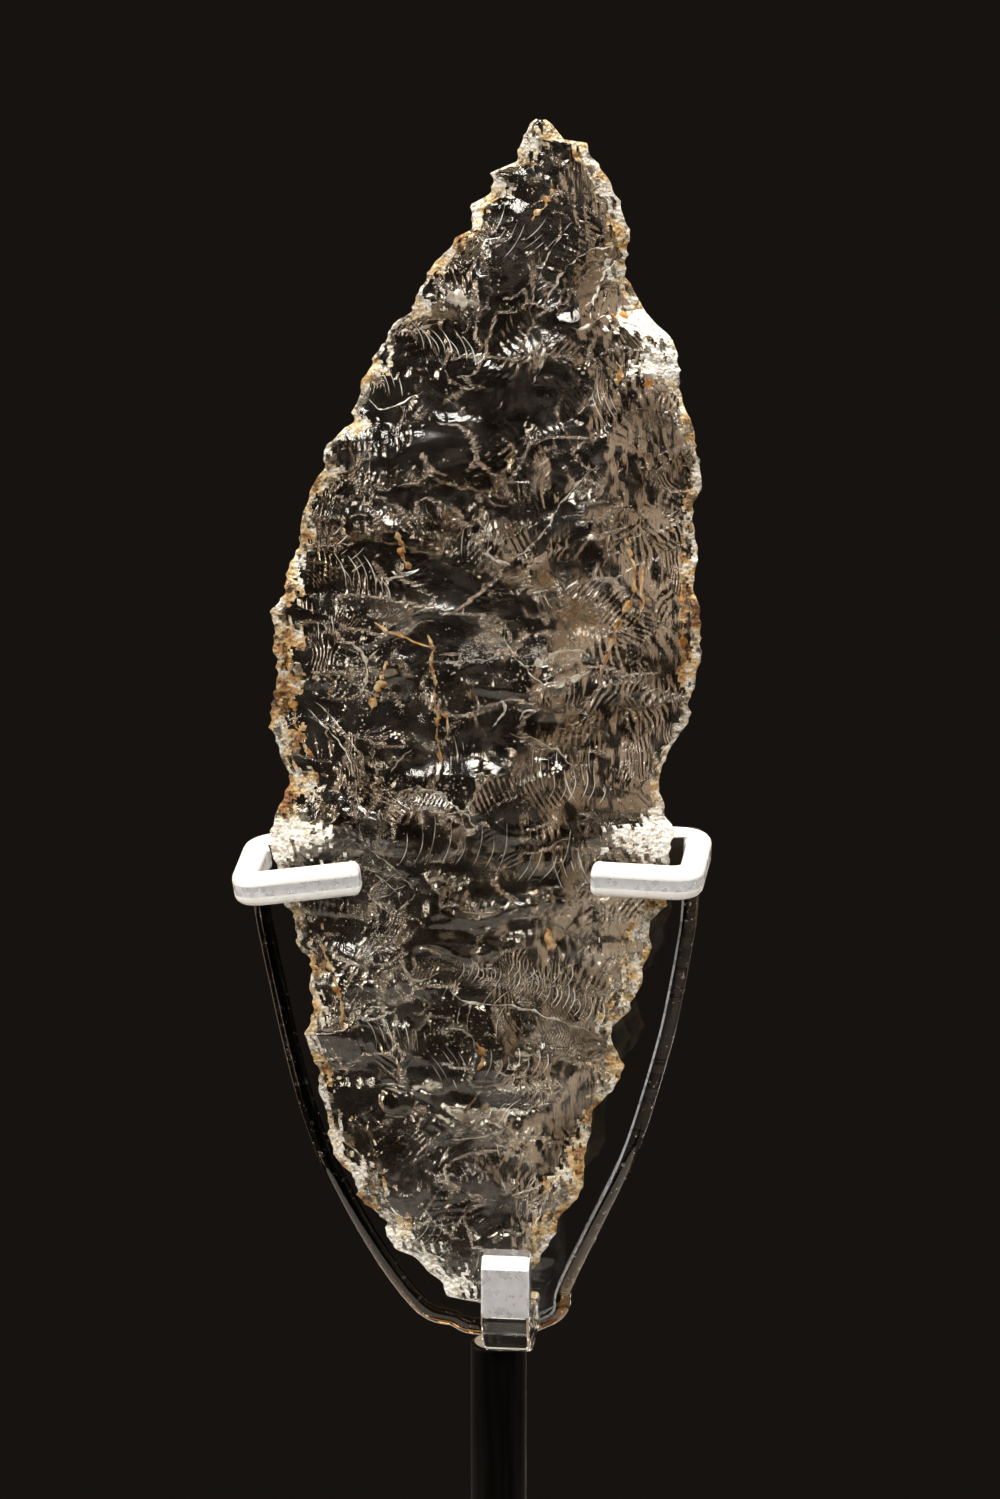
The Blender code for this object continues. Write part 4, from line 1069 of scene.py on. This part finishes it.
def hookSlab(side, height, space, length, tilt):
    # a strip bent round the blade's edge, drawn from above and given its height
    form = cradleForm
    edgeX = float(edgeAt(side, height))
    out = 1.0 if side == "right" else -1.0
    inner = abs(edgeX) + space
    reach = inner + form["hookWall"]
    end = reach - length
    back = form["plateFront"] + form["plateThickness"] - form["hookInset"]
    leg = form["plateFront"] + form["hookInset"]
    grip = bladeForm["planeY"] - bladeForm["frontDepth"] + form["hookTuck"]
    front = grip - form["hookWall"]
    bend, small, nose = form["hookBend"], form["hookInnerBend"], form["hookEndRound"]
    line = [(inner - form["hookLap"], back)]
    line += arc((reach - bend, back - bend), bend, 90.0, 0.0)
    line += arc((reach - bend, front + bend), bend, 0.0, -90.0)
    line += arc((end + nose, front + nose), nose, -90.0, -180.0)
    line += arc((end + nose, grip - nose), nose, 180.0, 90.0)
    line += arc((inner - small, grip + small), small, -90.0, 0.0)
    line += arc((inner - small, leg - small), small, 0.0, 90.0)
    line += [(inner - form["hookLap"], leg)]
    line = np.array(line) * np.array([out, 1.0])
    # the strip's caps and rounds take the painted glow, white where the light from above falls on them
    points, faces, slots = slab(line, form["hookHeight"] / 2.0, form["edgeRound"], form["hookCore"], False,
                                form["hookSteps"], (paintedGlow, paintedGlow, paintedGlow, satinPaintedSheen))
    centre = out * (reach + end) / 2.0
    turn = np.radians(-tilt)
    offX = points[:, 0] - centre
    placed = np.empty_like(points)
    placed[:, 0] = centre + offX * np.cos(turn) + points[:, 2] * np.sin(turn)
    placed[:, 1] = points[:, 1]
    placed[:, 2] = bladeForm["base"] + height - offX * np.sin(turn) + points[:, 2] * np.cos(turn)
    return placed, faces, slots


def seatSlab():
    # the hook below: a block over the rod that bends up in front of the blade's base, drawn from the side
    form = cradleForm
    under = form["seatUnder"]
    seat = under + form["seatFloor"]
    top = bladeForm["base"] + form["seatRise"]
    back = form["plateFront"] + form["plateThickness"] - form["hookInset"]
    share = np.interp(form["seatRise"], depthHeights, depthShares)
    inner = bladeForm["planeY"] - bladeForm["frontDepth"] * share - form["seatSpace"]
    front = inner - form["seatWall"]
    small, bend, slope = form["seatInnerBend"], form["seatBend"], form["seatTopSlope"]
    line = [(back, under)]
    line += arc((front + bend, under + bend), bend, 270.0, 180.0)
    line += [(front, top - slope), (front + slope, top), (inner, top)]
    line += arc((inner + small, seat + small), small, 180.0, 270.0)
    line += [(back, seat)]
    # the hook below is sanded all over, its pale grey partly a painted sheen
    points, faces, slots = slab(line, form["seatWidth"] / 2.0, form["seatRound"], form["seatCore"], False,
                                form["hookSteps"], (satinPaintedSheen, satinPaintedSheen, satinPaintedSheen, satinPaintedSheen))
    placed = np.stack([points[:, 2] + form["seatMiddle"], points[:, 0], points[:, 1]], axis=-1)

    def seatSlot(high, slot):
        # the bend and what lies behind it are polished through, and the cut top takes the painted glow
        if high < seat + form["seatClear"] or high > top - form["seatCap"]:
            return clear
        return paintedGlow if high > top - form["seatPaintedGlow"] else slot

    slots = [seatSlot(placed[face, 2].mean(), slot) for face, slot in zip(faces, slots)]
    return placed, faces, slots


def plateSlab():
    # the drawn face, its rim bulging outwards, stood up behind the blade
    form = cradleForm
    line = throughPoints(plateFace, form["plateSteps"])
    points, faces, slots = slab(line, form["plateThickness"] / 2.0, form["plateRim"], form["plateCore"], True,
                                form["rimSteps"], (clear, satinPaintedSheen, paintedShadeRim, paintedShadeRim))
    middle = form["plateFront"] + form["plateThickness"] / 2.0
    # the satin band is a painted highlight, the thin bright line along the rim, and shows on the right only
    faceX = [points[face, 0].mean() for face in faces]
    slots = [paintedShadeRim if slot == satinPaintedSheen and x < 0.0 else slot for slot, x in zip(slots, faceX)]
    # the top edge is cut flat, so nothing bulges above the line between its two corners
    (rightX, rightTop), (leftX, leftTop) = plateFace[0], plateFace[-1]
    topLine = leftTop + (rightTop - leftTop) * (points[:, 0] - leftX) / (rightX - leftX)
    height = np.minimum(points[:, 1], topLine)
    placed = np.stack([points[:, 0], middle - points[:, 2], height + bladeForm["base"]], axis=-1)
    return placed, faces, slots


def polishedAcrylic():
    # cast acrylic sheet, polished: clear with a faint cool edge tint, IOR 1.49, and fine handling scratches
    material, tree, shader, place = newMaterial("polishedAcrylic")
    wipe = addNode(tree, "Mapping", {"Vector": place, "Rotation": (0.0, 0.9, 0.0), "Scale": (0.08, 1.0, 1.0)})
    scratch = addNode(tree, "TexNoise", {"Vector": wipe, "Scale": perMm(0.3), "Detail": 2.0})
    gloss = addNode(tree, "ValToRGB", {"Fac": scratch}, stops=((0.4, 0.015), (0.75, 0.07)))
    cloud = addNode(tree, "TexNoise", {"Vector": place, "Scale": perMm(9.0)})
    tint = addNode(tree, "ValToRGB", {"Fac": cloud}, stops=((0.3, "#FBFDFD"), (0.7, "#F2F6F5")))
    plug(tree, shader, {"Base Color": tint, "Roughness": gloss, "IOR": 1.49, "Transmission Weight": 1.0})
    return material


def acrylicRimPaintedShade():
    # the sheet's rounded rim: it bends the view so far that it looks dark and smoky, so that darkness is
    # painted into its colour (painted shade), with a painted amber reflection near the bottom, and bright
    # specks that the saw left, rougher, whose white is painted in as glints
    material, tree, shader, place = newMaterial("acrylicRimPaintedShade")
    height = addNode(tree, "SeparateXYZ", {"Vector": place}, "Z")
    # painted shade and painted reflection: the rim's colour goes from amber at the bottom to dark smoke
    # higher up
    low = addNode(tree, "MapRange", {"Value": height, "From Min": 64.0 * mm, "From Max": 86.0 * mm})
    paintedShade = addNode(tree, "ValToRGB", {"Fac": low},
                    stops=((0.0, "#B98A4E"), (0.3, "#4A3826"), (0.6, "#211D1A"), (1.0, "#1B1816")))
    speck = addNode(tree, "TexNoise", {"Vector": place, "Scale": perMm(0.7), "Detail": 3.0, "Roughness": 0.7})
    # painted glints: white specks on the rim
    paintedGlints = addNode(tree, "ValToRGB", {"Fac": speck}, stops=((0.62, 0.0), (0.67, 1.0)))
    colour = addNode(tree, "Mix", {0: paintedGlints, 6: paintedShade, 7: linear("#F7F4EC")}, 2, data_type="RGBA")
    rough = addNode(tree, "ValToRGB", {"Fac": speck}, stops=((0.6, 0.04), (0.68, 0.35)))
    plug(tree, shader, {"Base Color": colour, "Roughness": rough, "IOR": 1.49, "Transmission Weight": 1.0})
    return material


# the strips' cut edges, only half polished: they gather the light in the sheet, and that glow is painted in
# as a near-white, nearly opaque colour (painted glow)
paintedGlowEdge = noiseFinish("acrylicEdgePaintedGlow", 0.8, 4.0, ((0.3, "#F6F5F1"), (0.6, "#FFFFFF")),
                          ((0.3, 0.25), (0.7, 0.45)), {"IOR": 1.49, "Transmission Weight": 0.25})
# the middle of a strip's front: acrylic dulled by sanding, which shows what is behind it as a grey blur; its
# pale grey is partly a painted sheen, the dull reflection of the strip's front
satinFacePaintedSheen = noiseFinish("satinAcrylicPaintedSheen", 0.9, 4.0, ((0.3, "#CCCFD7"), (0.7, "#E8E9EE")),
                        ((0.3, 0.2), (0.7, 0.4)), {"IOR": 1.49, "Transmission Weight": 0.52})


def makeCradle():
    # the plate and its three hooks, joined as one solid
    materials = [polishedAcrylic(), acrylicRimPaintedShade(), paintedGlowEdge, satinFacePaintedSheen]
    shapes = [plateSlab()] + [hookSlab(*row) for row in sideHooks] + [seatSlab()]
    plate, *tools = [meshPiece("slab%d" % number, points, faces, materials, slots)
                     for number, (points, faces, slots) in enumerate(shapes)]
    for tool in tools:
        step = plate.modifiers.new(tool.name, "BOOLEAN")
        step.operation = "UNION"
        step.solver = "EXACT"
        step.object = tool
    graph = bpy.context.evaluated_depsgraph_get()
    mesh = bpy.data.meshes.new_from_object(plate.evaluated_get(graph))
    for thing in [plate] + tools:
        bpy.data.objects.remove(thing, do_unlink=True)
    mesh.name = "clearCradle"
    mesh.set_sharp_from_angle(angle=np.radians(cradleForm["sharpAngle"]))
    return placeObject("clearCradle", mesh)


cradle = makeCradle()
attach(cradle, rootBody)
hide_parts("cradle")
print("cradle joined:", len(cradle.data.polygons), "faces")


chipForm = {
    "count": 90,
    "seed": 15,
    "clusters": 9,
    "size": 0.13,
    "depth": 0.2,       # how far the chips lie under the rim's round
}


def rimChips(chip):
    # bright chips that the saw left in the plate's left rim, just under its round, in clusters along it
    form = cradleForm
    count = chip["count"]
    dice = np.random.default_rng(chip["seed"])
    line = throughPoints(plateFace[20:26], 8)
    centres = dice.uniform(0.0, 1.0, chip["clusters"])
    share = np.clip(dice.choice(centres, count) + dice.normal(0.0, 0.035, count), 0.0, 1.0)
    even = np.linspace(0.0, 1.0, len(line))
    angle = np.radians(dice.uniform(5.0, 62.0, count))
    radius = form["plateRim"] - chip["depth"]
    x = np.interp(share, even, line[:, 0]) - radius * np.cos(angle)
    up = np.interp(share, even, line[:, 1]) + bladeForm["base"]
    y = form["plateFront"] + form["plateRim"] - radius * np.sin(angle)
    sizes = np.clip(chip["size"] * dice.lognormal(0.0, 0.5, count), 0.05, 0.34)
    return octahedra(np.stack([x, y, up], axis=-1), sizes, dice)


chips = meshPiece("rimChips", *rimChips(chipForm), [frostedAndHighlight])
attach(chips, rootBody)


# rod and foot

standForm = {
    "rodRadius": 2.5,
    "rodLow": 2.3,
    "rodTop": 65.7,
    "rodRound": 0.35,
    "footRadius": 35.0,
    "footHeight": 6.0,
    "footRound": 1.0,
    "socketRadius": 2.8,
    "socketFloor": 2.0,
    "rodMiddle": 30.0,
    "bareEdge": 0.6,      # width of the paint's ragged end on the rod's top
    "underRound": 0.3,
    "socketRound": 0.2,
    "steps": 128,
    "sharpAngle": 40.0,
}


def turned(name, profile, materials, bareFrom=None):
    # a profile of (radius, height) from the bottom's middle to the top's middle, carried round the axis:
    # radius*cos(turn), radius*sin(turn), height; the profile's end from bareFrom on has the second material
    profile = np.asarray(profile, dtype=float)
    steps = standForm["steps"]
    turn = np.linspace(0.0, 2.0 * np.pi, steps, endpoint=False)
    body = profile[1:-1]
    ring = np.empty((len(body), steps, 3))
    ring[:, :, 0] = body[:, None, 0] * np.cos(turn)
    ring[:, :, 1] = body[:, None, 0] * np.sin(turn)
    ring[:, :, 2] = body[:, None, 1]
    poles = np.array([(0.0, 0.0, profile[0, 1]), (0.0, 0.0, profile[-1, 1])])
    number = np.arange(len(body) * steps).reshape(-1, steps)
    faces = tubeFaces(number, number.size)
    slots = np.zeros(len(faces), dtype=int)
    if bareFrom is not None:
        slots[(bareFrom - 1) * steps:-2 * steps] = 1
        slots[-steps:] = 1
    return meshPiece(name, np.concatenate([ring.reshape(-1, 3), poles]), faces, materials, slots,
                     standForm["sharpAngle"])


# brushed-on black paint on a steel bar: semi-matt, with the faint upright lines of the drawn bar
blackRodPaint = noiseFinish("blackRodPaint", 0.5, 3.0, ((0.3, "#020202"), (0.75, "#090706")),
                            ((0.3, 0.34), (0.7, 0.5)), {"Specular IOR Level": 0.04}, (1.0, 1.0, 0.04),
                            (0.15, 0.1, 0.5, 3.0))
# the bar's bare cut end: grey steel with the saw's straight marks
sawnSteel = noiseFinish("sawnSteel", 0.35, 3.0, ((0.3, "#C9BCA8"), (0.7, "#FFF6E8")), 0.42, {"Metallic": 1.0},
                        (0.06, 1.0, 1.0))
# matt black powder coat: fine orange-peel grain, a little greyer where it is worn
blackFootPaint = noiseFinish("blackFootPaint", 14.0, 5.0, ((0.35, "#0B0A0A"), (0.8, "#181716")),
                             ((0.3, 0.48), (0.7, 0.66)), {"Specular IOR Level": 0.2}, None,
                             (0.35, 0.2, 0.6, 4.0))

rodRadius = standForm["rodRadius"]
rodRound = standForm["rodRound"]
rodTop = standForm["rodTop"]
rodLow = standForm["rodLow"]
rodProfile = [(0.0, rodLow), (rodRadius, rodLow), (rodRadius, standForm["rodMiddle"])]
rodProfile += arc((rodRadius - rodRound, rodTop - rodRound), rodRound, 0.0, 90.0)
rodProfile += [(rodRadius - standForm["bareEdge"], rodTop), (0.0, rodTop)]
rod = turned("blackRod", rodProfile, [blackRodPaint, sawnSteel], len(rodProfile) - 3)
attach(rod, rootBody)
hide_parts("rod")

footRadius = standForm["footRadius"]
footRound = standForm["footRound"]
footHeight = standForm["footHeight"]
underRound = standForm["underRound"]
socketRadius = standForm["socketRadius"]
socketRound = standForm["socketRound"]
footProfile = [(0.0, 0.0), (footRadius - underRound, 0.0), (footRadius, underRound)]
footProfile += arc((footRadius - footRound, footHeight - footRound), footRound, 0.0, 90.0)
footProfile += [(socketRadius + socketRound, footHeight), (socketRadius, footHeight - socketRound)]
footProfile += [(socketRadius, standForm["socketFloor"]), (0.0, standForm["socketFloor"])]
foot = turned("roundFoot", footProfile, [blackFootPaint])
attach(foot, rootBody)
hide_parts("foot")
print("stand turned")


# floor and light

studio = {
    "floorRadius": 0.112,
    "floorSteps": 96,
    "world": "#171310",
    "worldStrength": 1.0,
    "exposure": 0.0,
    "bounces": 24,
    "glossyBounces": 8,
    # name, place in metres, the height on the axis that it looks at, width, height, watts, colour
    "lights": (
        ("topSoft", (0.03, 0.05, 0.75), 0.12, 0.36, 0.30, 13.0, "#FFF6E8"),
        ("frontSoft", (-0.15, -0.55, 0.62), 0.13, 0.40, 0.26, 7.2, "#FFFAF2"),
        ("leftSoft", (-0.55, 0.02, 0.20), 0.12, 0.16, 0.40, 2.2, "#FFF4E2"),
        ("rightSoft", (0.55, 0.05, 0.22), 0.12, 0.14, 0.36, 1.8, "#FFF8F0"),
        ("backStripLeft0", (-0.25, 0.52, 0.10), 0.12, 0.10, 0.60, 0.068, "#FFDFBE"),
        ("backStripLeft1", (-0.41, 0.50, 0.08), 0.12, 0.13, 0.60, 0.118, "#FFDFBE"),
        ("backStripLeft2", (-0.60, 0.42, 0.10), 0.12, 0.14, 0.60, 0.112, "#FFDFBE"),
        ("backStripRight0", (0.25, 0.52, 0.10), 0.12, 0.12, 0.60, 0.095, "#FFDFBE"),
        ("backStripRight1", (0.42, 0.50, 0.12), 0.12, 0.12, 0.60, 0.072, "#FFDAB4"),
        ("backStripRight2", (0.60, 0.42, 0.10), 0.12, 0.15, 0.60, 0.116, "#FFDFBE"),
        ("backCardAbove", (0.0, 0.48, 0.56), 0.12, 0.60, 0.30, 0.16, "#FFEBD4"),
        ("backCardMiddle", (0.0, 0.56, 0.265), 0.08, 0.26, 0.07, 0.050, "#FFEBD4"),
        ("frontLowCard", (0.03, -0.55, 0.095), 0.12, 0.50, 0.12, 0.09, "#FFEAD2"),
    ),
    # small bright discs behind and beside, which the flaked faces turn into glints: place, width, watts
    "glints": (
        ((-0.16, 0.55, 0.20), 0.040, 0.034), ((0.15, 0.56, 0.24), 0.036, 0.028),
        ((0.02, 0.50, 0.38), 0.050, 0.056), ((-0.36, 0.42, 0.34), 0.050, 0.056),
        ((0.36, 0.40, 0.36), 0.050, 0.056),
        ((-0.10, 0.52, -0.20), 0.040, 0.022), ((0.14, 0.52, -0.16), 0.040, 0.022),
        ((0.31, 0.50, 0.04), 0.030, 0.026), ((0.22, 0.54, -0.05), 0.030, 0.022),
        ((0.50, 0.42, 0.22), 0.036, 0.034), ((-0.33, 0.50, 0.02), 0.030, 0.016),
    ),
    "glintColour": "#FFF6EA",
}


def addLamp(name, shape, place, aim, wide, high, watts, colour):
    # an area light whose -Z is turned from its place to the axis at the height aim
    lamp = bpy.data.lights.new(name, "AREA")
    lamp.shape = shape
    lamp.size = wide
    lamp.size_y = high
    lamp.energy = watts
    lamp.color = linear(colour)[:3]
    holder = placeObject(name, lamp)
    holder.location = place
    x, y, z = place
    holder.rotation_euler = (np.arctan2(np.hypot(x, y), z - aim), 0.0, np.arctan2(x, -y))


for name, *values in studio["lights"]:
    addLamp(name, "RECTANGLE", *values)
for number, (place, wide, watts) in enumerate(studio["glints"]):
    addLamp("glint%d" % number, "DISK", place, 0.12, wide, wide, watts, studio["glintColour"])

world = bpy.data.worlds.new("quietRoom")
world.use_nodes = True
plug(world.node_tree, world.node_tree.nodes["Background"],
     {"Color": linear(studio["world"]), "Strength": studio["worldStrength"]})
scene = bpy.context.scene
scene.world = world
scene.view_settings.view_transform = "Standard"
scene.view_settings.exposure = studio["exposure"]
scene.cycles.max_bounces = studio["bounces"]
scene.cycles.transmission_bounces = studio["bounces"]
scene.cycles.glossy_bounces = studio["glossyBounces"]

# matt pale board with a slow cloudiness: under the strong top light it comes out almost white
paleFloor = noiseFinish("paleFloor", 60.0, 2.0, ((0.3, "#96938E"), (0.7, "#9F9C97")), 0.8)
floorTurn = np.linspace(0.0, 2.0 * np.pi, studio["floorSteps"], endpoint=False)
floorRing = np.stack([np.cos(floorTurn), np.sin(floorTurn), 0.0 * floorTurn], axis=-1)
floorRing = floorRing * studio["floorRadius"] / mm
floor = meshPiece("studioFloor", floorRing, [list(range(len(floorTurn)))], [paleFloor])
print("light set")
